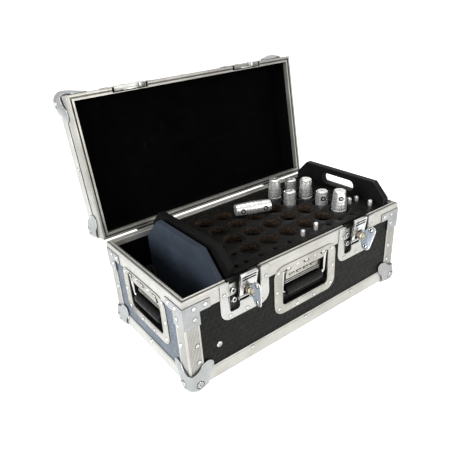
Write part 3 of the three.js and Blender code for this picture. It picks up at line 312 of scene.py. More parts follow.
# name, two colours, roughness, metallic, darker patches for scuffs and painted reflections, reach and depth
# of the painted shade in crevices, brushing
METALS = (
    ("edging", "c3c1bc", "b0ada6", 0.38, 0.6, 0.3, 0.003, 0.8, ALONG_Z),
    ("edging_flat", "c5c3be", "b1aea7", 0.38, 0.6, 0.3, 0.003, 0.8, ALONG_X),
    # ball corners: colours darkened and strongly patched, a painted reflection of dark surroundings
    ("corner_metal", "a9aaaa", "878989", 0.26, 0.85, 0.6, 0.012, 0.9, EVEN),
    # dark colour for the handle tubs' walls and floor: painted shade
    ("tub_dark", "2b2a28", "181716", 0.3, 0.6, 0.4, 0.02, 0.9, EVEN),
    # a darker copy of the edging for the lid's rim, which lies in shade: painted shade
    ("rim_metal", "aba9a3", "918f88", 0.34, 0.6, 0.3, 0.008, 0.97, ALONG_X),
    ("pressed_steel", "b2b0a9", "8f8c83", 0.24, 0.85, 0.35, 0.016, 0.92, EVEN),
    ("zinc_plate", "bcbcb9", "aaa9a2", 0.26, 0.85, 0.3, 0.02, 0.97, EVEN),
    ("latch_metal", "d9d9d7", "bcbbb7", 0.22, 0.85, 0.25, 0.006, 0.95, EVEN),
    ("bail_wire", "cfcfcd", "aaa9a4", 0.18, 1.0, 0.3, 0.005, 0.8, EVEN),
    ("rivet", "d6d6d3", "a9a8a2", 0.2, 1.0, 0.3, 0.003, 0.95, EVEN),
    ("latch_brass", "c8bfae", "a89d8a", 0.34, 0.7, 0.4, 0.004, 0.8, EVEN),
    # dark rings under rivets and screws, and the corner screws' slots: painted shade
    ("grime", "24231f", "151412", 0.6, 0.1, 0.2, 0.003, 0.8, EVEN),
    # black for the latch recesses, behind the hook's slots and round the keeper's loop and rivets: painted
    # shade
    ("recess_black", "1d1d1c", "0e0e0d", 0.4, 0.4, 0.5, 0.01, 0.8, EVEN),
    ("wing_zinc", "a3acb5", "8d98a3", 0.38, 0.5, 0.3, 0.002, 0.6, EVEN),
    # dark tabs of the handles; also the painted shade of the divider screw's cross slot
    ("dark_tab", "5c5850", "3c3934", 0.38, 1.0, 0.4, 0.004, 0.8, EVEN),
    # dark colour for bores, eyelets, grooves and the discs under bolts: painted shade
    ("bore_dark", "2c2b29", "181818", 0.4, 0.6, 0.2, 0.004, 0.8, EVEN),
)
RUST = {"corner_metal": 0.5}
# name, two colours, colour of worn edges, specks, roughness, wear, shine
BOARDS = (
    ("divider", "39404b", "2a3038", "060606", 0.35, 0.62, 1.0, 0.2),
    ("tray_face", "0a0a09", "11100e", "3d3022", 0.3, 0.55, 0.6, 0.1),
    ("tray_board", "0c0c0c", "141312", "75695a", 0.4, 0.55, 0.9, 0.12),
    # a darker copy of the tray board for its left board, in the gap behind the divider: painted shade
    ("tray_board_dark", "080808", "0e0e0d", "2a251f", 0.3, 0.55, 0.6, 0.1),
    ("inside", "020302", "050605", "090a09", 0.08, 0.9, 0.4, 0.02),
)
# plane of the panel, two colours, strength of the painted highlight in the grooves, shine, depth where the
# lining starts
LAMINATES = (
    ("xz", "0a0a08", "0f0e0c", 0.6, 0.1, 0.0103),
    # end panels: a lighter bluish grey, painted reflection of the bright surroundings
    ("yz", "4b525b", "5a6169", 0.5, 0.42, 0.0103),
    ("xy", "1c1c1a", "242321", 1.0, 0.15, 0.0085),
)
HEX_ACROSS = 0.0145
M = {}


def metal(name, colour, other, rough, metallic, scuffs_and_reflections, crevice, depth, brush):
    n = Nodes(name)
    colour = rgb(colour)
    base = n.mix(n.span(n.noise(18, 4, 0.6), 0.35, 0.7, 0, 1), colour, rgb(other))
    fine = n.noise(900, 2, 0.5, stretch=brush)
    base = n.mix(n.span(fine, 0.3, 0.75, 0, 0.15), base, scaled(colour, 0.72))
    # darker patches: scuffs, and painted reflections, strongest on the ball corners
    scratch = n.noise(60, 6, 0.75, stretch=(1, 1, 3.2))
    marks = n.math("MULTIPLY", n.span(scratch, 0.6, 0.74, 0, 1), scuffs_and_reflections)
    base = n.mix(marks, base, scaled(colour, 0.62))
    if name in RUST:
        dots = n.span(n.cells(140), 0.16, 0.05, 0, 1)
        thin = n.math("MULTIPLY", dots, n.span(n.noise(22, 2), 0.5, 0.65, 0, RUST[name]))
        base = n.mix(thin, base, rgb("5b4a38"))
    # painted shade where surfaces meet
    base = n.painted_crevice_shade(base, crevice, depth)
    roughness = n.span(n.noise(45, 5, 0.65), 0.3, 0.75, rough * 0.8, rough * 1.35)
    n.set(Base_Color=base, Roughness=roughness, Metallic=metallic)
    height = n.math("ADD", n.math("MULTIPLY", fine, 0.25), n.math("MULTIPLY", scratch, 0.5))
    n.set(Normal=n.bump(height, 0.12, 0.0004))
    return n.mat


def hex_height(n, plane):
    """Height of a six-sided embossing: flat hexagons that fall to narrow grooves."""
    root = math.sqrt(3)
    first, second = [n.split(n.coords)["xyz".index(letter)] for letter in plane]
    along = n.math("ADD", n.math("DIVIDE", first, HEX_ACROSS), 400)
    across = n.math("ADD", n.math("DIVIDE", second, HEX_ACROSS), 400 * root)
    p = n.merge(along, across)
    pitch, half = (1, root, 1), (0.5, root / 2, 0)
    a = n.vec("SUBTRACT", n.vec("MODULO", p, pitch), half)
    b = n.vec("SUBTRACT", n.vec("MODULO", n.vec("ADD", p, half), pitch), half)
    nearer = n.math("LESS_THAN", n.vec("DOT_PRODUCT", a, a), n.vec("DOT_PRODUCT", b, b))
    other = n.math("SUBTRACT", 1.0, nearer)
    g = n.vec("ABSOLUTE", n.vec("ADD", n.vec("SCALE", a, nearer), n.vec("SCALE", b, other)))
    edge = n.math("MAXIMUM", n.split(g)[0], n.vec("DOT_PRODUCT", g, (0.5, root / 2, 0)))
    return n.span(edge, 0.46, 0.38, 0, 1)


def laminate(plane, colour, other, lines, shine, limit):
    """An embossed facing outside, and a matt black lining on the faces that look inward."""
    n = Nodes("laminate_" + plane)
    colour = rgb(colour)
    height = hex_height(n, plane)
    base = n.mix(n.span(n.noise(7, 4, 0.6), 0.35, 0.7, 0, 1), colour, rgb(other))
    # painted highlight: the grooves lighter than the hexagons, as if their edges caught the light
    grooves = n.math("MULTIPLY", n.math("SUBTRACT", 1.0, height), lines)
    base = n.mix(grooves, base, scaled(colour, 2.6, 0.006))
    base = n.mix(n.span(n.noise(1300, 2, 0.6), 0.5, 0.75, 0, 0.5), base, scaled(colour, 2.1, 0.01))
    dust = n.span(n.noise(30, 7, 0.8, stretch=(1, 1, 2.5)), 0.62, 0.72, 0, 0.35)
    base = n.mix(dust, base, rgb("6d6a64"))
    x, y, z = n.split(n.coords)
    depth_in = {
        "xz": n.math("SUBTRACT", HALF_Y * MM, n.math("ABSOLUTE", y)),
        "yz": n.math("SUBTRACT", HALF_X * MM, n.math("ABSOLUTE", x)),
        "xy": z,
    }[plane]
    inside = n.math("GREATER_THAN", depth_in, limit)
    lining = n.mix(n.span(n.noise(900, 3, 0.7), 0.45, 0.7, 0, 1), rgb("060606"), rgb("121211"))
    # painted shade where surfaces meet, on the facing and on the lining
    base = n.painted_crevice_shade(n.mix(inside, base, lining), 0.004, 0.7)
    rough = n.span(n.noise(60, 4), 0.3, 0.7, 0.4, 0.58)
    n.set(Base_Color=base, Roughness=n.math("ADD", rough, n.math("MULTIPLY", inside, 0.35)))
    n.set(Specular_IOR_Level=n.math("SUBTRACT", shine, n.math("MULTIPLY", inside, shine * 0.9)))
    grain = n.math("MULTIPLY", n.noise(2200, 2), 0.12)
    n.set(Normal=n.bump(n.math("ADD", height, grain), 0.9, 0.0006))
    return n.mat


def smooth_board(name, colour, other, edge, speck, rough, wear, shine):
    """A faced board: matt face with fine specks and pale or brown worn edges."""
    n = Nodes(name)
    colour = rgb(colour)
    base = n.mix(n.span(n.noise(11, 5, 0.62), 0.35, 0.7, 0, 1), colour, rgb(other))
    base = n.mix(n.span(n.noise(700, 3, 0.7), 0.56, 0.7, 0, speck), base, scaled(colour, 2.6, 0.03))
    scrape = n.span(n.noise(35, 8, 0.8, stretch=(1, 1, 0.3)), 0.64, 0.72, 0, 0.5)
    base = n.mix(scrape, base, scaled(colour, 2.2, 0.05))
    patches = n.span(n.noise(90, 4, 0.7), 0.4, 0.6, 0.25 * wear, wear)
    base = n.mix(n.math("MULTIPLY", n.edge_wear(0.0016), patches), base, rgb(edge))
    roughness = n.span(n.noise(50, 4), 0.3, 0.7, rough * 0.85, rough * 1.2)
    n.set(Base_Color=base, Roughness=roughness, Specular_IOR_Level=shine)
    n.set(Normal=n.bump(n.noise(1500, 3, 0.6), 0.2, 0.0003))
    return n.mat


def turned_metal():
    """Satin aluminium with the fine rings that turning leaves."""
    n = Nodes("turned_aluminium")
    colour = rgb("f4f3f0")
    around = (0.03, 0.03, 1)
    fine = n.span(n.noise(420, 2, 0.5, stretch=around), 0.45, 0.62, 0, 0.3)
    broad = n.span(n.noise(140, 2, 0.5, stretch=around), 0.48, 0.6, 0, 0.3)
    base = n.mix(fine, colour, scaled(colour, 0.6))
    base = n.mix(broad, base, scaled(colour, 0.55))
    base = n.mix(n.span(n.noise(90, 2, 0.6), 0.62, 0.74, 0, 0.15), base, scaled(colour, 0.6))
    # painted shade where surfaces meet
    base = n.painted_crevice_shade(base, 0.007, 0.8)
    roughness = n.span(n.noise(40, 2), 0.3, 0.7, 0.24, 0.28)
    n.set(Base_Color=base, Metallic=0.74, Roughness=roughness)
    return n.mat


def rubber():
    n = Nodes("rubber")
    base = n.mix(n.span(n.noise(40, 5, 0.7), 0.4, 0.7, 0, 1), rgb("090909"), rgb("111110"))
    base = n.mix(n.span(n.noise(500, 2), 0.62, 0.75, 0, 0.5), base, rgb("2a2928"))
    roughness = n.span(n.noise(120, 3), 0.3, 0.7, 0.42, 0.6)
    n.set(Base_Color=base, Roughness=roughness, Specular_IOR_Level=0.16)
    n.set(Normal=n.bump(n.noise(1800, 3), 0.25, 0.0003))
    return n.mat


def raw_ply():
    """Cut plywood: thin veneers, brown and light by turns."""
    n = Nodes("raw_ply")
    veneers = 2 * math.pi / 0.003
    z = n.math("ADD", n.split(n.coords)[2], n.math("MULTIPLY", n.noise(120, 3), 0.0005))
    wave = n.math("SINE", n.math("MULTIPLY", z, veneers))
    base = n.mix(n.span(wave, -0.4, 0.4, 0, 1), rgb("221912"), rgb("6a5340"))
    base = n.mix(n.span(n.noise(330, 4, 0.7), 0.4, 0.54, 0, 0.97), base, rgb("0b0806"))
    # painted shade in the holes and where surfaces meet
    base = n.painted_crevice_shade(base, 0.02, 0.85)
    roughness = n.span(n.noise(300, 3), 0.3, 0.7, 0.7, 0.9)
    n.set(Base_Color=base, Roughness=roughness, Specular_IOR_Level=0.2)
    n.set(Normal=n.bump(n.noise(900, 3, 0.6), 0.4, 0.0004))
    return n.mat


def materials():
    for row in METALS:
        M[row[0]] = metal(*row)
    for row in BOARDS:
        M[row[0]] = smooth_board(*row)
    for row in LAMINATES:
        M["laminate_" + row[0]] = laminate(*row)
    M["turned_aluminium"] = turned_metal()
    M["rubber"] = rubber()
    M["raw_ply"] = raw_ply()


# Words in a CAD node's name, and its material; the first row that fits is taken
LOOKS = (
    (("left_panel", "right_panel"), "laminate_yz"),
    (("bottom_panel", "top_panel"), "laminate_xy"),
    (("panel", "wall_frame"), "laminate_xz"),
    (("ball_corner", "brace", "leaf", "bracket"), "corner_metal"),
    (("edging", "_rim"), "edging_flat"),
    (("handle_front_dish", "handle_left_dish", "handle_right_dish"), "pressed_steel"),
    (("_dish", "_keeper"), "zinc_plate"),
    (("bail",), "bail_wire"),
    (("grip",), "rubber"),
    (("coupler",), "turned_aluminium"),
    (("divider",), "divider"),
    (("tray_plate",), "tray_face"),
    (("tray_left_board",), "tray_board_dark"),
    (("tray",), "tray_board"),
    (("latch",), "latch_metal"),
)


def dress_nodes():
    """Every CAD node starts with a full material; later pieces replace some of them."""
    for name, obj in nodes.items():
        kind = next(kind for words, kind in LOOKS if any(word in name for word in words))
        obj.data.materials.clear()
        obj.data.materials.append(M[kind])


# Outlines and shapes, all in millimetres
WELD, CURVE_WELD = 0.004, 0.001


def rounded(points, radii, steps=6, closed=True):
    """An outline through points whose corners are rounded, each with its own radius."""
    out = []
    count = len(points)
    for i, p in enumerate(points):
        r = radii[i] if hasattr(radii, "__len__") else radii
        if r <= 0 or (not closed and i in (0, count - 1)):
            out.append(tuple(p))
            continue
        p = Vector(p)
        a = (Vector(points[i - 1]) - p).normalized()
        b = (Vector(points[(i + 1) % count]) - p).normalized()
        half = math.acos(max(-1, min(1, a.dot(b)))) / 2
        reach = r / math.tan(half)
        centre = p + (a + b).normalized() * (r / math.sin(half))
        start, end = p + a * reach - centre, p + b * reach - centre
        turn = start.angle_signed(end)
        for k in range(steps + 1):
            c, s = math.cos(-turn * (k / steps)), math.sin(-turn * (k / steps))
            out.append((centre.x + start.x * c - start.y * s, centre.y + start.x * s + start.y * c))
    return out


def rrect(x0, x1, y0, y1, r, steps=6):
    return rounded([(x0, y0), (x1, y0), (x1, y1), (x0, y1)], r, steps)


def circle(cx, cy, r, steps=24):
    angles = [2 * math.pi * i / steps for i in range(steps)]
    return [(cx + r * math.cos(t), cy + r * math.sin(t)) for t in angles]


def shifted(points, distance, closed=False):
    """The same path moved sideways; positive is to the left of its direction."""
    out = []
    count = len(points)
    for i, p in enumerate(points):
        before = points[i - 1] if i or closed else None
        after = points[(i + 1) % count] if i < count - 1 or closed else None
        normal = Vector((0, 0))
        for a, b in ((before, p), (p, after)):
            if a is not None and b is not None:
                d = Vector(b) - Vector(a)
                if d.length > 1e-6:
                    normal += Vector((-d.y, d.x)).normalized()
        normal.normalize()
        out.append((p[0] + normal.x * distance, p[1] + normal.y * distance))
    return out


def joggle(y, low, high):
    """How far a plate steps back at a height, where it leaves the edging for the panel."""
    t = max(0.0, min(1.0, (y - low) / (high - low)))
    return PANEL_STEP * (1 - t * t * (3 - 2 * t))


def pressed(path, profile, closed=False, step=None):
    """Rings of a pressed wall: the path moved sideways and placed at a height, joggled at its top."""
    rings = []
    for grow, w in profile:
        ring = []
        for x, y in shifted(path, grow, closed):
            ring.append((x, y, w - joggle(y, *step) if step and w > -1 else w))
        rings.append(ring)
    return rings


class Shape:
    """Vertices, faces and material numbers that several solids are gathered in."""

    def __init__(self):
        self.verts, self.faces, self.kinds = [], [], []

    def add(self, verts, faces, matrix=None, kind=0):
        start = len(self.verts)
        flip = matrix is not None and matrix.to_3x3().determinant() < 0
        self.verts += [tuple(matrix @ Vector(p)) if matrix is not None else tuple(p) for p in verts]
        for f in faces:
            f = [start + i for i in f]
            self.faces.append(f[::-1] if flip else f)
            self.kinds.append(kind)
        return self

    def merge(self, other, matrix):
        start = len(self.kinds)
        self.add(other.verts, other.faces, matrix)
        self.kinds[start:] = other.kinds
        return self

    def loft(self, rings, closed=True, low=True, high=True, matrix=None, kind=0):
        """Rings of equal count joined by faces; low and high cap the first and the last."""
        n = len(rings[0])
        faces = []
        for k in range(len(rings) - 1):
            for i in range(n if closed else n - 1):
                j = (i + 1) % n
                faces.append([k * n + i, k * n + j, (k + 1) * n + j, (k + 1) * n + i])
        if low:
            faces.append(list(range(n))[::-1])
        if high:
            faces.append([(len(rings) - 1) * n + i for i in range(n)])
        return self.add([p for ring in rings for p in ring], faces, matrix, kind)

    def lathe(self, profile, sides=24, matrix=None, kind=0):
        """A profile of (radius, height) turned about Z; points on the axis close it."""
        verts, faces, rows = [], [], []
        for r, h in profile:
            if r <= 1e-6:
                rows.append([len(verts)] * sides)
                verts.append((0, 0, h))
            else:
                rows.append([len(verts) + i for i in range(sides)])
                verts += [(x, y, h) for x, y in circle(0, 0, r, sides)]
        for a, b in zip(rows, rows[1:]):
            for i in range(sides):
                j = (i + 1) % sides
                corners = list(dict.fromkeys((a[i], a[j], b[j], b[i])))
                if len(corners) > 2:
                    faces.append(corners)
        return self.add(verts, faces, matrix, kind)

    def plate(self, outlines, z0, z1, bevel=0.3, kind=0, matrix=None, lines=()):
        """A flat plate with holes and softened edges. lines cut it across at those Y."""
        curve = bpy.data.curves.new("tmp", "CURVE")
        curve.dimensions = "2D"
        curve.fill_mode = "BOTH"
        curve.extrude = (z1 - z0) / 2 - bevel
        curve.bevel_depth = bevel
        curve.bevel_resolution = 1
        curve.offset = -bevel
        for outline in outlines:
            spline = curve.splines.new("POLY")
            spline.points.add(len(outline) - 1)
            for point, (x, y) in zip(spline.points, outline):
                point.co = (x, y, 0, 1)
            spline.use_cyclic_u = True
        holder = linked("tmp", curve)
        mesh = evaluated(holder)
        bm = bmesh.new()
        bm.from_mesh(mesh)
        bmesh.ops.remove_doubles(bm, verts=bm.verts, dist=CURVE_WELD)
        for y in lines:
            whole = bm.verts[:] + bm.edges[:] + bm.faces[:]
            bmesh.ops.bisect_plane(bm, geom=whole, plane_co=(0, y, 0), plane_no=(0, 1, 0))
        bmesh.ops.recalc_face_normals(bm, faces=bm.faces)
        bm.verts.index_update()
        verts = [(p.co.x, p.co.y, p.co.z + (z0 + z1) / 2) for p in bm.verts]
        faces = [[p.index for p in f.verts] for f in bm.faces]
        bm.free()
        bpy.data.objects.remove(holder)
        bpy.data.curves.remove(curve)
        bpy.data.meshes.remove(mesh)
        return self.add(verts, faces, matrix, kind)

    def box(self, x, y, z, bevel=0.3, kind=0, matrix=None):
        corner = min(bevel * 1.5, (x[1] - x[0]) / 2.2, (y[1] - y[0]) / 2.2)
        outline = rrect(x[0], x[1], y[0], y[1], corner, 2)
        return self.plate([outline], z[0], z[1], min(bevel, (z[1] - z[0]) / 2.5), kind, matrix)

    def tube(self, path, radius, sides=14, kind=0):
        """A round bar along a path."""
        points = [Vector(p) for p in path]
        rings = []
        normal = None
        for i, p in enumerate(points):
            tangent = (points[min(i + 1, len(points) - 1)] - points[max(i - 1, 0)]).normalized()
            if normal is None:
                normal = tangent.orthogonal().normalized()
            normal = (normal - tangent * normal.dot(tangent)).normalized()
            side = tangent.cross(normal)
            turns = circle(0, 0, 1, sides)
            rings.append([tuple(p + radius * (c * normal + s * side)) for c, s in turns])
        return self.loft(rings, kind=kind)

    def bar(self, x, y, z, radius, sides=14):
        """A straight round bar along X."""
        return self.tube([(end, y, z) for end in x], radius, sides)

    def cross(self, half, reach, z, turn):
        """The cross slot of a screw, painted dark as the shade in it."""
        for quarter in (0, 90):
            self.box((-half, half), (-reach, reach), z, 0.1, 1, rot("Z", quarter + turn))
        return self

    def bend(self, low, high):
        """Steps everything back between two heights, from the edging down to the panel."""
        self.verts = [(x, y, z - joggle(y, low, high)) for x, y, z in self.verts]
        return self

    def done(self, name, kinds, body, slot, matrix=None, sharp=38, replaces=()):
        """Makes the object, at its place in metres, and hands it to its body."""
        bm = bmesh.new()
        made = [bm.verts.new(p) for p in self.verts]
        for f, kind in zip(self.faces, self.kinds):
            try:
                made_face = bm.faces.new([made[i] for i in f])
            except ValueError:
                continue
            made_face.material_index = kind
            made_face.smooth = True
        bmesh.ops.remove_doubles(bm, verts=bm.verts, dist=WELD)
        whole = UNIT if matrix is None else UNIT @ matrix
        bmesh.ops.transform(bm, matrix=whole, verts=bm.verts)
        if whole.to_3x3().determinant() < 0:
            bmesh.ops.reverse_faces(bm, faces=bm.faces)
        mesh = bpy.data.meshes.new(name)
        bm.to_mesh(mesh)
        bm.free()
        mesh.set_sharp_from_angle(angle=math.radians(sharp))
        for kind in kinds:
            mesh.materials.append(M[kind])
        obj = linked(name, mesh)
        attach(obj, body)
        if replaces:
            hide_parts(*replaces)
        return obj

    def dress(self, node, kinds, body, slot, matrix=None, sharp=38):
        """Makes the object that takes the place of a CAD node."""
        return self.done("dressed_" + node, kinds, body, slot, matrix, sharp, (node,))


# Fasteners
RIVET_LOOK = ("rivet", "grime")
SMALL_RIVET = Matrix.Scale(0.9, 4)
EDGE_RIVET = 22.5
UPRIGHT_LOW, UPRIGHT_LONG, UPRIGHT_END = 97, 58, 142
LOBE_RIVET_IN, LOBE_RIVET_UP = 41, 38
BRACE_RIVETS = ((23, 21.5), (47.5, 21.5), (23, 44.5))
PITCH_LONG, PITCH_END = 150, 110
DIVIDER_SCREW_IN, DIVIDER_SCREW_UP = 71.6, 73.4


def rivet_shape():
    s = Shape()
    # a dark disc under the head: painted shadow ring
    s.lathe([(0, -0.3), (5.3, -0.3), (5.3, 0.03), (4.9, 0.07), (0, 0.07)], 20, kind=1)
    s.lathe([(0, -0.2), (4.4, -0.2), (4.6, 0.3), (4.3, 0.62), (3.7, 0.7), (3.4, 1.15), (2.6, 1.6),
             (1.7, 1.75), (1.3, 1.3), (0, 1.15)], 20)
    return s


def cup_screw_shape():
    """A countersunk screw in a cup washer."""
    s = Shape()
    s.lathe([(0, -0.4), (6.0, -0.4), (6.2, 0.3), (5.2, 1.4), (4.4, 1.7), (3.9, 1.3), (3.7, 0.7),
             (0, 0.7)], 28)
    s.lathe([(0, 0.2), (3.6, 0.2), (3.6, 1.0), (3.2, 1.25), (1.4, 1.35), (1.2, 0.6), (0, 0.5)], 24)
    return s.cross(0.45, 2.1, (0.9, 1.42), 20)


def gathered(shape, places):
    s = Shape()
    for place in places:
        s.merge(shape, place)
    return s


def edging_rivets(base, lid):
    """Rivets of the uprights, the rim braces, the ball corners' lobes and the long edging."""
    for side in SIDES:
        end = side in ("left", "right")
        half = HALF_Y if end else HALF_X
        upper = UPRIGHT_END if end else UPRIGHT_LONG
        pitch = PITCH_END if end else PITCH_LONG
        m = face(side)
        for s in (-1, 1):
            for height in (UPRIGHT_LOW, upper):
                base.append(m @ at(s * (half - EDGE_RIVET), height - BASE_HEIGHT, 0))
            for inset, drop in BRACE_RIVETS:
                base.append(m @ at(s * (half - inset), -drop, SKIN))
            lobe = s * (half - LOBE_RIVET_IN)
            base.append(m @ at(lobe, LOBE_RIVET_UP - BASE_HEIGHT, CORNER_SKIN))
            lid.append(LID @ m @ at(lobe, LID_HEIGHT - LOBE_RIVET_UP, CORNER_SKIN))
        for k in (-1, 0, 1):
            base.append(m @ at(k * pitch, EDGE_RIVET - BASE_HEIGHT, 0))
            lid.append(LID @ m @ at(k * pitch, LID_HEIGHT - EDGE_RIVET, 0))


def plate_rivets(base, lid):
    """Smaller rivets round the latch dishes, the keeper dishes and the handle plates."""
    for u in LATCH_U.values():
        m = face("front", u)
        for du, drop in ((-50, 24), (50, 24), (-38, 76), (38, 76), (3, 77)):
            base.append(m @ at(du, -drop, ON_EDGING if drop < EDGE_LEG else ON_PANEL) @ SMALL_RIVET)
        for du, rise in ((-50, 12), (50, 12), (-38, 39), (38, 39), (0, 39)):
            lid.append(LID @ m @ at(du, rise, ON_EDGING) @ SMALL_RIVET)
    places = [(s * a, b) for a, b in ((77, 44), (81.5, 0), (76, -43), (25, -51.5), (25, 47)) for s in (-1, 1)]
    for side, drop in HANDLE_DROP.items():
        for du, dv in places:
            level = ON_EDGING if dv - drop > -EDGE_LEG else ON_PANEL
            base.append(face(side, du) @ at(0, dv - drop, level) @ SMALL_RIVET)


def fasteners():
    base, lid = [], []
    edging_rivets(base, lid)
    plate_rivets(base, lid)
    rivet = rivet_shape()
    gathered(rivet, base).done("case_rivets", RIVET_LOOK, "case", "zinc_plate")
    gathered(rivet, lid).done("lid_rivets", RIVET_LOOK, "lid", "zinc_plate")
    place = face("front", DIVIDER_SCREW_IN - HALF_X) @ at(0, DIVIDER_SCREW_UP - BASE_HEIGHT, -PANEL_STEP)
    gathered(cup_screw_shape(), [place]).done("divider_screws", ("rivet", "dark_tab"), "case", "zinc_plate")


# Ball corners
BALL_R, BALL_AT = 24, 13
LOBE_AT = 41.5
SCREW_AT = 14
WAIST_R, WAIST_AT = 33, 69
VOXEL, SMOOTHED, KEPT = 0.62, 5, 0.16
SCREWS = (((0, 0, -1), (SCREW_AT, SCREW_AT, 0)),
          ((0, -1, 0), (SCREW_AT, 0, SCREW_AT)),
          ((-1, 0, 0), (0, SCREW_AT, SCREW_AT)))


def corner_body():
    """The ball and its three lobes as one hull, the case's corner at the origin."""
    skin = -CORNER_SKIN

    def fill(bm):
        bmesh.ops.create_icosphere(bm, subdivisions=5, radius=BALL_R, matrix=at(*[BALL_AT] * 3))
        for i in range(40):
            t = 2 * math.pi * i / 40
            for r, depth in ((12.0, skin + 0.45), (11.5, skin)):
                a, b = LOBE_AT + r * math.cos(t), LOBE_AT + r * math.sin(t)
                for p in ((a, b, depth), (a, depth, b), (depth, a, b)):
                    bm.verts.new(p)
        horn, soft = 44, skin + 2.5
        for p in ((horn, skin, soft), (horn, soft, skin), (skin, horn, soft),
                  (soft, horn, skin), (skin, soft, horn), (soft, skin, horn)):
            bm.verts.new(p)
        hull = bmesh.ops.convex_hull(bm, input=bm.verts[:])
        spare = hull["geom_interior"] + hull["geom_unused"]
        loose = list({e for e in spare if isinstance(e, bmesh.types.BMVert) and e.is_valid})
        bmesh.ops.delete(bm, geom=loose, context="VERTS")

    return linked("corner", mesh_of("corner", fill))


def corner_cutters():
    """The walls of the case, the waists between the lobes and the dimples of the three screws."""
    def cube(low, high):
        size = Matrix.Diagonal([b - a for a, b in zip(low, high)] + [1])
        m = Matrix.Translation([(a + b) / 2 for a, b in zip(low, high)]) @ size
        return lambda bm: bmesh.ops.create_cube(bm, size=1, matrix=m)

    def ball(centre):
        return lambda bm: bmesh.ops.create_icosphere(bm, subdivisions=5, radius=WAIST_R, matrix=at(*centre))

    def dimple(place, axis):
        s = Shape().lathe([(0, 8.0), (8.0, 8.0), (9.8, 11.4), (9.8, 30), (0, 30)], 40)
        m = Matrix.Translation(place) @ facing(axis)

        def fill(bm):
            made = [bm.verts.new(m @ Vector(p)) for p in s.verts]
            for f in s.faces:
                bm.faces.new([made[i] for i in f])
            bmesh.ops.recalc_face_normals(bm, faces=bm.faces)
        return fill

    fills = [cube(low, (70, 70, 70)) for low in ((-0.3, -0.3, 12), (-0.3, 12, -0.3), (12, -0.3, -0.3))]
    fills += [ball(centre) for centre in ((WAIST_AT, 0, 0), (0, WAIST_AT, 0), (0, 0, WAIST_AT))]
    fills += [dimple(place, axis) for axis, place in SCREWS]
    return [linked("cut", mesh_of("cut", fill)) for fill in fills]


def corner_shape():
    """One pressed ball corner in its own frame, the walls along +X +Y +Z."""
    body = corner_body()
    cutters = corner_cutters()
    for cutter in cutters:
        cut_with(body, cutter)
    remesh = body.modifiers.new("remesh", "REMESH")
    remesh.mode = "VOXEL"
    remesh.voxel_size = VOXEL
    smooth = body.modifiers.new("smooth", "SMOOTH")
    smooth.factor = 0.5
    smooth.iterations = SMOOTHED
    decimate = body.modifiers.new("decimate", "DECIMATE")
    decimate.ratio = KEPT
    made = evaluated(body)
    shape = Shape().add([tuple(p.co) for p in made.vertices], [list(p.vertices) for p in made.polygons])
    for obj in [body] + cutters:
        bpy.data.objects.remove(obj)
    return shape


def corner_screw_shape():
    s = Shape()
    # a dark dish round the screw: painted shade
    s.lathe([(0, 7.4), (8.3, 7.4), (9.0, 9.1), (8.2, 9.2), (7.6, 8.5), (0, 8.5)], 32, kind=1)
    s.lathe([(4.5, 8.2), (6.9, 8.2), (7.0, 9.2), (6.4, 9.7), (5.6, 9.7), (4.8, 9.1), (4.5, 8.4)], 32)
    s.lathe([(0, 8.1), (3.9, 8.1), (3.9, 9.2), (3.2, 9.6), (1.8, 9.75), (1.4, 9.2), (0, 9.1)], 28)
    return s.cross(0.55, 2.6, (9.1, 9.7), 25)


def ball_corners():
    corner = corner_shape()
    places = [Matrix.Translation(place) @ facing(axis) for axis, place in SCREWS]
    screws = gathered(corner_screw_shape(), places)
    for prefix, body, level, up in (("base", "case", FLOOR_Z, 1), ("lid", "lid", LID_TOP, -1)):
        for sx, wide in ((-1, "left"), (1, "right")):
            for sy, deep in ((-1, "front"), (1, "rear")):
                m = at(sx * HALF_X, sy * HALF_Y, level) @ Matrix.Diagonal((-sx, -sy, up, 1))
                if prefix == "lid":
                    m = LID @ m
                node = f"{prefix}_ball_corner_{deep}_{wide}"
                corner.dress(node, ("corner_metal",), body, "corner_metal", m, 60)
                screws.done("screws_" + node, RIVET_LOOK, body, "zinc_plate", m)


# Edging and rims
BEND_R = 2.5
NOTCH, NOTCH_IN = (84, 16.2, 80), 2.7


def bend_points(angles):
    """Points of the extrusions' rounded outer corner."""
    turns = [math.radians(t) for t in angles]
    return [(BEND_R * (1 - math.cos(t)), BEND_R * (1 - math.sin(t))) for t in turns]


def ring_frame(section):
    """A closed section of (inward, z) led round the case with mitred corners."""
    rings = []
    for sx, sy in ((-1, -1), (1, -1), (1, 1), (-1, 1), (-1, -1)):
        rings.append([(sx * (HALF_X - d), sy * (HALF_Y - d), z) for d, z in section])
    return Shape().loft(rings, low=False, high=False)


def edge_section(level, direction):
    """The rounded outer corner, a shallow groove along each leg, and the legs' plain inner sides."""
    leg = [(26.6, 0), (27.0, 0.6), (28.2, 0.6), (28.6, 0), (31.6, 0), (32, 0.4), (32, 1.5), (1.5, 1.5)]
    wall = [(1.5, 32), (0.4, 32), (0, 31.6), (0, 28.6), (0.6, 28.2), (0.6, 27.0), (0, 26.6)]
    return [(d, level + direction * z) for d, z in bend_points(range(0, 91, 15)) + leg + wall]


def uprights(z0, z1):
    """Four corner extrusions: two legs of 32 mm with fine ribs down each of them."""
    leg = [(BEND_R, 0)]
    for k in range(8):
        a = 4.2 + k * 3.1
        leg += [(a, 0), (a + 0.4, 0.75), (a + 1.4, 0.75), (a + 1.8, 0)]
    leg += [(31.6, 0), (32, 0.4), (32, 1.5), (1.5, 1.5)]
    section = leg + [(b, a) for a, b in leg[:-1]][::-1] + bend_points(range(15, 76, 15))
    s = Shape()
    for sx in (-1, 1):
        for sy in (-1, 1):
            s.loft([[(sx * (HALF_X - a), sy * (HALF_Y - b), z) for a, b in section] for z in (z0, z1)])
    return s


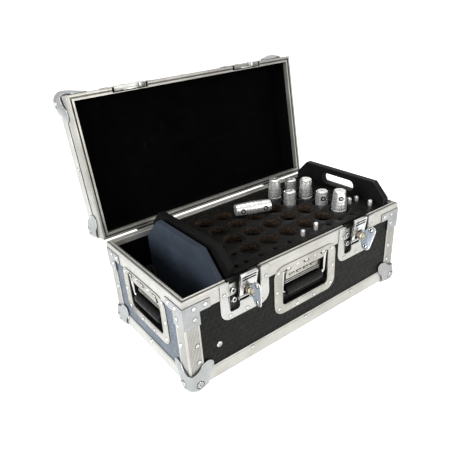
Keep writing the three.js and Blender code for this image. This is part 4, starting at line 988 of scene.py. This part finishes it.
def cut_notches(obj, lift):
    """Takes the two latch openings out of a rim."""
    for u in LATCH_U.values():
        m = UNIT @ lift @ at(u, -HALF_Y + NOTCH_IN, RIM_Z) @ Matrix.Diagonal((*NOTCH, 1))
        cutter = linked("cut", mesh_of("cut", lambda bm: bmesh.ops.create_cube(bm, size=1, matrix=m)))
        cut_with(obj, cutter)
        made = evaluated(obj)
        obj.modifiers.clear()
        made.name = obj.data.name
        obj.data = made
        made.set_sharp_from_angle(angle=math.radians(30))
        bpy.data.objects.remove(cutter)


TONGUE = (
    (0, -31.6), (0.4, -32), (1.5, -32), (1.5, -4.1), (11.1, -4.1), (11.1, -13.8), (12.3, -13.8),
    (12.6, -13.5), (12.6, -2.1), (12.3, -1.8), (7.4, -1.8), (7.4, 2.4), (7.2, 2.85), (6.9, 3.0),
    (5.9, 3.0), (5.6, 2.85), (5.4, 2.4), (5.4, -1.8), (3.0, -1.8), (3.0, -0.3), (2.7, 0), (1.2, 0),
    (0.6, -0.2), (0.15, -0.7), (0, -1.2), (0, -6.2), (0.3, -6.5), (0.3, -7.1), (0, -7.4), (0, -26.6),
    (0.3, -26.9), (0.3, -27.5), (0, -27.8),
)
GROOVE = (
    (0, 31.6), (0, 27.8), (0.3, 27.5), (0.3, 26.9), (0, 26.6), (0, 7.4), (0.3, 7.1), (0.3, 6.5),
    (0, 6.2), (0, 1.5), (0.15, 0.9), (0.6, 0.5), (1.2, 0.3), (4.6, 0.3), (4.6, 4.1), (8.2, 4.1),
    (8.2, 0.3), (12.3, 0.3), (12.6, 0.6), (12.6, 12.0), (12.3, 12.3), (11.1, 12.3), (11.1, 6.3),
    (1.5, 6.3), (1.5, 32), (0.4, 32),
)


def extrusions():
    gap = EDGE_LEG + 0.3
    flat, sharp = ("edging_flat",), 25
    base, lid = ring_frame(edge_section(FLOOR_Z, 1)), ring_frame(edge_section(LID_TOP, -1))
    base.dress("base_edging", flat, "case", "edging", None, sharp)
    uprights(FLOOR_Z + gap, RIM_Z - gap).done("base_uprights", ("edging",), "case", "edging", None, sharp)
    lid.dress("lid_edging", flat, "lid", "edging", LID, sharp)
    uprights(RIM_Z + gap, LID_TOP - gap).done("lid_uprights", ("edging",), "lid", "edging", LID, sharp)
    rim = ring_frame([(d, RIM_Z + z) for d, z in TONGUE])
    cut_notches(rim.dress("base_rim", flat, "case", "edging", None, sharp), Matrix.Identity(4))
    rim = ring_frame([(d, RIM_Z + z) for d, z in GROOVE])
    # the lid's rim takes the darker copy of the edging: painted shade
    cut_notches(rim.dress("lid_rim", ("rim_metal",), "lid", "edging", LID, sharp), LID)


# Linings
def linings():
    """Black lining sheets inside the lid, and a black sheet on the rim's inner leg behind each latch, painted
    shade seen through the notch.
    """
    sheet = 0.25
    x, y = HALF_X - INNER - 0.15, HALF_Y - INNER - 0.15
    z0, z1 = RIM_Z + 6.6, LID_TOP - INNER - 0.15
    s = Shape()
    for across, along in (((-x, -x + sheet), (-y, -y + sheet)), ((x - sheet, x), (y - sheet, y))):
        s.box(across, (-y, y), (z0, z1), 0.05)
        s.box((-x, x), along, (z0, z1), 0.05)
    s.box((-x, x), (-y, y), (z1 - sheet, z1), 0.05)
    s.done("lid_lining", ("inside",), "lid", "laminate", LID)
    # black sheets behind the latch notches: painted shade
    s = Shape()
    depth = (-HALF_Y + 10.9, -HALF_Y + 12.75)
    for u in LATCH_U.values():
        s.box((u - 41.8, u + 41.8), depth, (RIM_Z - 13.95, RIM_Z - 1.65), 0.1)
    s.done("latch_notch_shade_sheet", ("inside",), "case", "laminate")


# Latches
PLATE_BACK, PLATE_SOFT = 0.3, 0.35
LATCH_STEP = (-34, -29)
# sideways growth and height of the wall drawn down from a dish's opening
DRAWN = ((-1.6, 1.45), (-0.9, 1.5), (-0.35, 1.25), (0.0, 0.6), (0.1, -0.6), (0.3, -7.6), (0.75, -8.9),
         (1.9, DISH_FLOOR))
HOOK_PIN = (LATCH_SHIFT, -46, -2)
HOOK_TILT = 12
ROTOR_AT = (LATCH_SHIFT, -33.5, 0)
WING_PIN = 10.6
PLATE_LOOK = ("zinc_plate", "recess_black")


def dish_shape():
    s = Shape()
    # the recess edge from its top left, round the slot and the tub, to its top right
    path = rounded([(-37.5, 0), (-37.5, -69), (-13.5, -69), (-13.5, -54), (37.5, -54), (37.5, 0)],
                   [0, 6, 6, 3, 9, 0], 7, closed=False)
    outer = rounded([(-59, 0), (-59, -84), (59, -84), (59, 0)], [0, 22, 22, 0], 10, closed=False)
    outline = outer + shifted(path, -1.2)[::-1]
    s.plate([outline], PLATE_BACK, SKIN, PLATE_SOFT, lines=(-28, -29.5, -31, -32.5, -34))
    s.bend(*LATCH_STEP)
    # the drawn wall: a rounded lip, the wall and the floor; the lower wall and the floor are painted black as
    # shade in the recess
    rings = pressed(path, DRAWN, step=LATCH_STEP)
    s.loft(rings[:6], False, False, False)
    s.loft(rings[5:], False, False, False, kind=1)
    s.add(rings[-1], [list(range(len(rings[-1])))], kind=1)
    # the raised step that the upper bolt stands on
    s.box((-35, -16.6), (-37.5, -12), (-9.4, -6.2), 0.5)
    # two lugs and the pin that the hook turns on
    for side in (-1, 1):
        x = LATCH_SHIFT + side * 22.2
        s.box((x - 0.8, x + 0.8), (-49.6, -42.4), (-9.4, 1.4), 0.4)
    s.bar((LATCH_SHIFT - 22.6, LATCH_SHIFT + 22.6), *HOOK_PIN[1:], 1.5)
    return s


def bolt_shape():
    s = Shape()
    # a dark disc under the bolt: painted shadow
    s.lathe([(0, 0), (7.6, 0), (7.6, 1.4), (0, 1.4)], 30, kind=1)
    s.lathe([(0, 1.3), (6.4, 1.3), (6.7, 1.7), (6.4, 2.3), (4.6, 2.5), (4.6, 4.6), (0, 4.6)], 30)
    s.lathe([(0, 4.5), (5.6, 4.5), (5.8, 5.0), (5.4, 6.0), (4.2, 6.6), (3.2, 6.5), (2.9, 5.4), (0, 5.2)], 30)
    # a dark disc at the centre of the head: painted shade
    s.lathe([(0, 5.0), (2.9, 5.0), (2.9, 5.6), (0, 5.6)], 20, kind=1)
    return s


def hook_shape():
    s = Shape()
    half, top = 20.0, 52.0
    corners = [(-half, -4), (half, -4), (half, top - 6), (half - 1.5, top), (1.5 - half, top),
               (-half, top - 6)]
    outline = rounded(corners, [7, 7, 2, 1, 1, 2], 6)
    window = rrect(-11.2, 11.2, 1.8, 23.6, 6, 8)
    slots = [rrect(-15.5, 15.5, low, high, 1.4, 4) for low, high in ((39.6, 42.9), (45.8, 49.0))]
    s.plate([outline, window] + slots, -1, 1, 0.35)
    s.box((-half + 1, half - 1), (top - 3, top), (-5.5, 1.2), 0.7)
    for low, high in ((49.2, 52), (43.2, 45.6), (36.8, 39.2)):
        s.box((-half + 0.6, half - 0.6), (low, high), (0.6, 1.9), 0.5)
    # a black sheet behind the two slots: painted shade seen through them
    s.box((-16.5, 16.5), (38.6, 50), (-1.5, -0.7), 0.1, 1)
    # returned side flanges
    for side in (-1, 1):
        x = side * (half - 0.7)
        s.box((x - 0.7, x + 0.7), (2, top - 1), (-3.4, 0.8), 0.4)
    s.bar((-half, half), 0, 0, 3.0, 20)
    for x in (16.5, -16.5):
        s.lathe([(0, -1.2), (3.0, -1.2), (3.0, 1.3), (2.4, 1.6), (0, 1.7)], 18, at(x, 34.5, 0))
    return s


def rotor_shape():
    s = Shape()
    s.lathe([(0, -9.0), (12, -9.0), (12, -7.9), (11.5, -7.5), (6, -7.5), (6, 6.0), (8.6, 6.0), (9, 6.4),
             (9, 13.2), (8.7, 13.9), (8.1, 14.3), (7.2, 14.3), (6.9, 13.7), (5.6, 13.7), (5.2, 14.3),
             (2.6, 14.3), (2.3, 13.6), (0, 13.5)], 40)
    # dark groove rings on the top and round the side: painted shade
    s.lathe([(5.4, 13.5), (7.0, 13.5), (7.0, 14.0), (5.4, 14.0)], 32, kind=1)
    s.lathe([(0, 13.4), (2.2, 13.4), (2.2, 14.1), (1.7, 14.35), (0, 14.4)], 20)
    s.lathe([(8.55, 8.2), (9.12, 8.2), (9.12, 10.4), (8.55, 10.4)], 40, kind=1)
    s.tube([(0, -13.4, WING_PIN), (0, 13.4, WING_PIN)], 1.5, 16)
    return s


def wing_shape():
    s = Shape()
    half = [(0, 9.6), (0, 13.3), (3.5, 13.4), (7, 20), (10, 24), (14, 26), (20, 26), (25.5, 24.2), (28.4, 20)]
    other = [(a, -b) for a, b in half[::-1]]
    notch = [(4, -9.6), (7.4, -8.2), (9.4, -4.2), (9.8, 0), (9.4, 4.2), (7.4, 8.2), (4, 9.6)]
    eyes = [circle(16, b, 2.6, 20) for b in (18.7, -18.7)]
    s.plate([half + other + notch] + eyes, -0.8, 0.8, 0.35)
    # the rolled outer edge and the raised rings round the eyelets
    edge = [(14, 25.2), (20, 25.2), (24.8, 23.6), (27.4, 19.6), (27.7, 10)]
    edge += [(27.7, 0)] + [(a, -b) for a, b in edge[::-1]]
    s.tube([(a, b, 0) for a, b in edge], 1.25, 10, 1)
    for b in (18.7, -18.7):
        for turn in (0, 180):
            m = at(16, b, 0) @ rot("X", turn)
            s.lathe([(2.7, 0.2), (2.7, 1.3), (3.3, 1.6), (4.2, 1.35), (5.0, 0.8), (5.2, 0.2)], 24, m, 1)
            # a dark ring round the raised ring: painted shade
            s.lathe([(5.1, 0.2), (5.1, 0.86), (6.1, 0.86), (6.1, 0.2)], 24, m, 2)
        # a dark disc that fills the eyelet: painted shade in the hole
        s.lathe([(0, -0.4), (2.7, -0.4), (2.7, 0.4), (0, 0.4)], 20, at(16, b, 0), 2)
    for a, b in ((9.5, 13.4), (-13.4, -9.5)):
        s.tube([(0, a, 0), (0, b, 0)], 3.0, 20)
    return s


def keeper_dish_shape():
    s = Shape()
    path = rounded([(-37.5, 0.3), (-37.5, 28), (37.5, 28), (37.5, 0.3)], [0, 9, 9, 0], 7, closed=False)
    outer = rounded([(-59, 0.3), (-59, 46), (59, 46), (59, 0.3)], [0, 20, 20, 0], 10, closed=False)
    s.plate([outer + shifted(path, 1.2)[::-1]], PLATE_BACK, SKIN, PLATE_SOFT)
    rings = pressed(path, [(-grow, w) for grow, w in DRAWN])
    s.loft(rings, False, False, False)
    s.add(rings[-1], [list(range(len(rings[-1])))])
    # the keeper: strip, shelf, loop and ear
    k = LATCH_SHIFT
    low, high = -8.9, -7.7
    loop, ear = (k + 17.5, -3.8), (k - 17.5, 0.2)
    s.box((k - 22, k + 22), (1, 20), (-9.9, -8.1), 0.4)
    s.box((k - 22, k + 22), (1, 2.2), (-9.9, -6.1), 0.4)
    s.plate([circle(*loop, 4.4, 28), circle(*loop, 2.2, 20)], low, high)
    # a dark ring round the loop: painted shade
    s.plate([circle(*loop, 5.1, 28), circle(*loop, 4.2, 28)], -8.7, -7.75, 0.1, 1)
    s.plate([rrect(k + 13.2, k + 21.8, -2.5, 2.4, 0.6, 3)], low, high)
    s.plate([circle(*ear, 4.4, 28)], low, high)
    for du in (-14, 0, 14):
        m = at(k + du, 12, -8.1)
        s.lathe([(0, 0), (2.6, 0), (2.3, 0.7), (1.2, 1.1), (0, 1.2)], 16, m)
        # a dark ring under each rivet: painted shade
        s.lathe([(2.5, -0.1), (3.9, -0.1), (3.9, 0.12), (2.5, 0.12)], 18, m, 1)
    return s


def latches():
    dish, keeper = dish_shape(), keeper_dish_shape()
    hook, rotor, wing = hook_shape(), rotor_shape(), wing_shape()
    bolts = gathered(bolt_shape(), [at(x, y, DISH_FLOOR) for x, y in ((-25.5, -26.5), (-24, -47.5))])
    for name, u in LATCH_U.items():
        latch = f"latch_{name}"
        turn = LATCH_TURN[name]
        m = face("front", u)
        dish.dress(latch + "_dish", PLATE_LOOK, "case", "zinc_plate", m)
        bolts.done(latch + "_bolts", ("bail_wire", "bore_dark"), "case", "latch_metal", m)
        place = m @ at(*HOOK_PIN) @ rot("X", HOOK_TILT * (1 - turn / 90))
        look = ("latch_metal", "recess_black")
        hook.dress(latch + "_hook_frame", look, latch + "_hook", "latch_metal", place)
        axis = m @ at(*ROTOR_AT) @ rot("Z", -turn)
        rotor.dress(latch + "_rotor", ("latch_brass", "bore_dark"), latch + "_rotor", "latch_metal", axis)
        place = axis @ at(0, 0, WING_PIN) @ rot("Y", -90)
        look = ("wing_zinc", "latch_metal", "bore_dark")
        wing.dress(latch + "_wing", look, latch + "_wing", "latch_metal", place)
        keeper.dress(latch + "_keeper", PLATE_LOOK, "lid", "zinc_plate", LID @ m)


# Handles
BAIL_PIN = (0, 39, -5.6)
BAIL_TILT = 3.8
BAIL_DROP = 51
BAIL_R = 3.5
TUB_FLOOR = -13.6


def handle_dish_shape(drop):
    s = Shape()
    edge = drop - EDGE_LEG
    step = (edge - 2, edge + 4)
    opening = rounded([(-66, -38.5), (66, -38.5), (66, 44), (55.5, 44), (55.5, 32.5), (-55.5, 32.5),
                       (-55.5, 44), (-66, 44)], [9, 9] + [2.5] * 6, 5)
    outer = rrect(-88.5, 88.5, -57.5, 57.5, 25, 12)
    s.plate([outer, opening], PLATE_BACK, SKIN, PLATE_SOFT, lines=[edge + d for d in (-2, -0.5, 1, 2.5, 4)])
    s.bend(*step)
    # a pressed bead round the opening
    bead = rounded([(-69.5, -42), (69.5, -42), (69.5, 47.5), (-69.5, 47.5)], 11, 7)
    hump = ((1.5, 1.2), (1.0, 1.75), (0, 2.05), (-1.0, 1.75), (-1.5, 1.2))
    s.loft(pressed(bead, hump, True, step), True, False, False)
    # the tub, its walls and floor painted dark as shade
    path = rounded([(-66, -38.5), (66, -38.5), (66, 44), (-66, 44)], [9, 9, 1, 1], 6)
    rings = pressed(path, ((0, -0.9), (0.2, -2.5), (0.6, -12.2), (1.2, -13.2), (2.6, TUB_FLOOR)), True)
    s.loft(rings[:2], True, False, False)
    s.loft(rings[1:], True, False, True, kind=1)
    # straps pressed over the bail's top bar
    _, y, z = BAIL_PIN
    for x in (-30, 30):
        s.box((x - 6, x + 6), (33.2, 44.3), (TUB_FLOOR, -9.6), 0.5)
        s.bar((x - 6, x + 6), y, z, 4.9, 18)
    # the spring's cover plate, pressed in four humps, and the ribs below it
    s.plate([rrect(-47, 47, 11, 31, 2.5, 4)], -13.8, -11.6, 0.5)
    for x in (-31, -10, 10, 31):
        s.bar((x - 6.5, x + 6.5), 20.5, -11.8, 3.1)
    for y, r in ((7.2, 1.7), (2.6, 1.7), (-22, 2.0)):
        s.bar((-50, 50), y, -13.7, r, 12)
    return s


def handle_bail_shape():
    """Pin axis at the origin along X, the arms down Y, rounded where they meet the crossbar."""
    half, bend = 61, 9
    turns = [math.radians(90 * i / 8) for i in range(9)]
    path = [(-half, 0, 0)]
    path += [(-half + bend - bend * math.cos(t), -BAIL_DROP + bend - bend * math.sin(t), 0) for t in turns]
    path += [(half - bend + bend * math.sin(t), -BAIL_DROP + bend - bend * math.cos(t), 0) for t in turns]
    path += [(half, 0, 0)]
    s = Shape()
    s.tube(path, BAIL_R, 18)
    s.bar((-64.4, 64.4), 0, 0, BAIL_R, 18)
    return s


def handle_grip_shape():
    half = 51.7
    end = [(3.8, half), (7.6, half), (8.9, half - 0.8), (9.8, half - 2.4), (10.6, half - 4.5)]
    waist = ((10.8, -3.4), (10.7, -2.2), (10.1, -1.0), (10.0, 0), (10.1, 1.0), (10.7, 2.2), (10.8, 3.4))
    profile = [(r, -h) for r, h in end]
    for c in (-30.9, -10.3, 10.3, 30.9):
        profile += [(r, c + d) for r, d in waist]
    profile += end[::-1]
    return Shape().lathe(profile + [profile[0]], 32, facing((1, 0, 0)))


def tabs_shape(level):
    """Three dark tabs with a bright stud, over the opening."""
    s = Shape()
    for x in (-50, 0, 50):
        s.plate([rrect(x - 7.5, x + 7.5, 41.5, 50.5, 2.2, 4)], level - 0.3, level + 0.5, 0.25)
        s.plate([rrect(x - 4.2, x + 4.2, 43.6, 48.6, 1.5, 4)], level + 0.3, level + 0.9, 0.2, 1)
    return s


def handles():
    bail = handle_bail_shape()
    grip = gathered(handle_grip_shape(), [at(0, -BAIL_DROP, 0)])
    for side, drop in HANDLE_DROP.items():
        handle = f"handle_{side}"
        m = face(side) @ at(0, -drop, 0)
        dish = handle_dish_shape(drop)
        dish.dress(handle + "_dish", ("pressed_steel", "tub_dark"), "case", "pressed_steel", m, 32)
        tabs = tabs_shape(ON_EDGING if 46 - drop > -EDGE_LEG else ON_PANEL)
        tabs.done(handle + "_tabs", ("dark_tab", "rivet"), "case", "pressed_steel", m)
        hinge = m @ at(*BAIL_PIN) @ rot("X", BAIL_TILT)
        bail.dress(handle + "_bail", ("bail_wire",), handle, "bail_wire", hinge)
        grip.dress(handle + "_grip", ("rubber",), handle, "grip_rubber", hinge)


# Tray and contents
LARGE_PITCH, LARGE_R = 54.0, 22.5
SMALL_PITCH_X, SMALL_PITCH_Y, SMALL_R = 38.7, 39.3, 6.0
SMALL_END = 199.5
PLATE_THICK = 18
LIE = 0.3
COUPLER_LOOK = ("turned_aluminium", "bore_dark")


def large_hole(column, row):
    return TRAY_X + (column - 2.5) * LARGE_PITCH, (row - 1.5) * LARGE_PITCH


def small_hole(column, row):
    x = max(-SMALL_END, min(SMALL_END, (column - 4.5) * SMALL_PITCH_X))
    return TRAY_X + x, (row - 3) * SMALL_PITCH_Y


def tray_plate():
    low, high = [Vector(c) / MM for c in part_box("tray_plate")]
    outline = rrect(low.x, high.x, low.y, high.y, 1.5, 3)
    holes = [circle(*large_hole(c, r), LARGE_R, 48) for c in range(6) for r in range(4)]
    for row in range(7):
        for column in range(-1, 11):
            if row in (0, 6) or column in (-1, 0, 9, 10):
                holes.append(circle(*small_hole(column, row), SMALL_R, 24))
    s = Shape().plate([outline] + holes, PLATE_TOP - PLATE_THICK, PLATE_TOP, 0.45)
    # walls of the holes and the cut edges show the bare plywood
    for i, f in enumerate(s.faces):
        a, b, c = (Vector(s.verts[k]) for k in f[:3])
        n = (b - a).cross(c - a)
        if n.length > 0 and abs(n.z) < 0.35 * n.length:
            s.kinds[i] = 1
    s.dress("tray_plate", ("tray_face", "raw_ply"), "tray", "tray_laminate", None, 30)


def coupler_shape(length, waist, bore):
    """A conical coupler: two tapers from its ends up to a waist, cross-bored at each end."""
    half, rim = length / 2, 13.8
    chamfer, taper = 2.6, half - 5.4
    upper = [(waist - 0.9, 2.0), (waist, 2.8)]
    for t in (0.8, 0.62, 0.06):
        r, h = rim + (waist - rim) * t, half - chamfer - taper * t
        upper += [(r, h - 0.85), (r - 0.75, h - 0.6), (r - 0.75, h + 0.6), (r, h + 0.85)]
    upper += [(rim, half - chamfer), (rim - 1.6, half - 1.0), (rim - 4.6, half - 0.2), (2.8, half),
              (2.2, half - 0.4), (2.0, half - 1.2), (0, half - 1.2)]
    s = Shape().lathe([(r, -h) for r, h in upper[::-1]] + upper, 44)
    # dark cross bores, seen as recessed discs with a chamfer whose ring is painted dark as shade
    bore_in = 17
    r = rim + (waist - rim) * (bore_in - chamfer) / taper
    for z in (bore_in - half, half - bore_in):
        for turn in (0, 180):
            m = rot("Z", bore + turn) @ at(0, -r, z) @ facing((0, -1, 0))
            s.lathe([(0, -0.3), (3.1, -0.3), (3.1, 0.4), (0, 0.4)], 26, m)
            s.lathe([(3.0, -0.9), (3.0, 0.55), (5.2, 0.75), (5.7, 0.2), (5.7, -0.9), (3.0, -0.9)], 26, m, 1)
    return s


# column and row of the hole, length, radius of the waist, turn of the bores
STANDING = ((5, 0, 88, 17.5, -34), (5, 1, 72, 15.5, -34), (5, 2, 88, 16.5, 40),
            (5, 3, 72, 15.5, 40), (4, 2, 72, 15.5, 40), (4, 3, 88, 16.5, 40))
# column and row of the hole, rise above the plate
PINS = ((4, 0, 13), (5, 0, 17), (9, 1, 15), (10, 1, 12), (10, 0, 14))


def contents():
    for i, (column, row, length, waist, bore) in enumerate(STANDING):
        place = at(*large_hole(column, row), SHELF_TOP + LIE + length / 2)
        coupler = coupler_shape(length, waist, bore)
        coupler.dress(f"standing_coupler_{i + 1}", COUPLER_LOOK, "tray", "turned_aluminium", place)
    place = at(22.6, 41.4, PLATE_TOP + LIE + 15.5) @ rot("Z", -22) @ rot("Y", 90)
    coupler_shape(88, 15.5, 0).dress("lying_coupler", COUPLER_LOOK, "tray", "turned_aluminium", place)
    pins = Shape()
    for column, row, rise in PINS:
        profile = [(0, -19), (4.4, -19), (4.9, -18.4), (4.9, rise - 2.0), (4.6, rise - 0.6), (3.8, rise),
                   (1.6, rise), (1.2, rise - 1), (0, rise - 1.2)]
        pins.lathe(profile, 24, at(*small_hole(column, row), PLATE_TOP))
    pins.done("tray_pins", ("turned_aluminium",), "tray", "turned_aluminium")


# Softened edges on the CAD nodes that stay
def soften():
    def bevel(name, width, segments=2):
        mod = nodes[name].modifiers.new("soft_edges", "BEVEL")
        mod.width = width * MM
        mod.segments = segments
        mod.limit_method = "ANGLE"
        mod.angle_limit = math.radians(28)
        mod.harden_normals = False

    for name in ("tray_left_board", "tray_right_board", "compartment_divider"):
        bevel(name, 1.2, 3)
    bevel("tray_shelf", 0.6)
    for name in nodes:
        if any(word in name for word in ("brace", "leaf", "bracket")):
            bevel(name, 0.25)


# Stage
FLOOR_HALF, FLOOR_GAP, FLOOR_GLOW = 30.0, 0.0004, 0.85
ROOM = 0.75
# tone by height, from straight below to straight above, and tint from the left to the right
HEIGHT_TONES = ((0.0, (0.5,) * 3), (0.5, (0.62,) * 3), (0.56, (0.3,) * 3), (0.68, (0.2,) * 3),
                (0.8, (0.5,) * 3), (1.0, (0.75,) * 3))
SIDE_TONES = ((0.0, (1.5, 1.6, 1.7)), (0.3, (1.0, 1.03, 1.06)), (0.6, (0.72, 0.7, 0.67)),
              (1.0, (0.6, 0.58, 0.55)))
# name, place, target, size, power, colour
LAMPS = (
    ("window", (-2.4, -0.5, 1.0), (0, 0, 0.1), 1.5, 56, (0.92, 0.97, 1.0)),
    ("front", (0.5, -2.4, 1.1), (0, 0, 0.1), 1.6, 25, (1.0, 0.98, 0.94)),
    ("top", (0.2, 0.1, 2.4), (0, 0, 0.2), 1.0, 12, (1.0, 1.0, 1.0)),
)


def ground():
    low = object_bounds()[0][2]
    mesh = bpy.data.meshes.new("floor")
    r = FLOOR_HALF
    mesh.from_pydata([(-r, -r, 0), (r, -r, 0), (r, r, 0), (-r, r, 0)], [], [(0, 1, 2, 3)])
    floor = linked("floor", mesh)
    floor.location.z = low - FLOOR_GAP
    n = Nodes("floor")
    tone = n.mix(n.span(n.noise(4, 3), 0.3, 0.7, 0, 0.05), (0.9, 0.9, 0.9), (0.86, 0.86, 0.86))
    n.set(Base_Color=tone, Roughness=0.85)
    # White to the camera and in reflections, less the shadow that the object throws.
    n.set(Emission_Color=(1, 1, 1, 1), Emission_Strength=n.math("MULTIPLY", n.seen(), FLOOR_GLOW))
    mesh.materials.append(n.mat)


def surroundings():
    """A soft room: a bright side at the left, a grey front and a darker band above the horizon."""
    world = bpy.data.worlds.new("world")
    bpy.context.scene.world = world
    world.use_nodes = True
    n = Tree(world.node_tree)
    direction = n.split(n.new("ShaderNodeTexCoord").outputs["Generated"])
    across, upward = [n.math("ADD", n.math("MULTIPLY", direction[i], 0.5), 0.5) for i in (0, 2)]
    room = n.mix(1.0, n.ramp(upward, HEIGHT_TONES), n.ramp(across, SIDE_TONES), "MULTIPLY")
    dim = n.made("ShaderNodeBackground", room, ROOM)
    white = n.made("ShaderNodeBackground", (1, 1, 1, 1))
    shown = n.made("ShaderNodeMixShader", n.seen(), dim, white)
    n.put(n.new("ShaderNodeOutputWorld").inputs[0], shown)


def lamps():
    for name, place, target, size, power, colour in LAMPS:
        data = bpy.data.lights.new(name, "AREA")
        data.shape = "DISK"
        data.size = size
        data.energy = power
        data.color = colour
        obj = linked(name, data)
        obj.location = place
        obj.rotation_euler = (Vector(target) - Vector(place)).to_track_quat("-Z", "Y").to_euler()


camera()
materials()
dress_nodes()
soften()
fasteners()
ball_corners()
extrusions()
linings()
latches()
handles()
tray_plate()
contents()
ground()
surroundings()
lamps()
bpy.context.scene.view_settings.view_transform = "Standard"
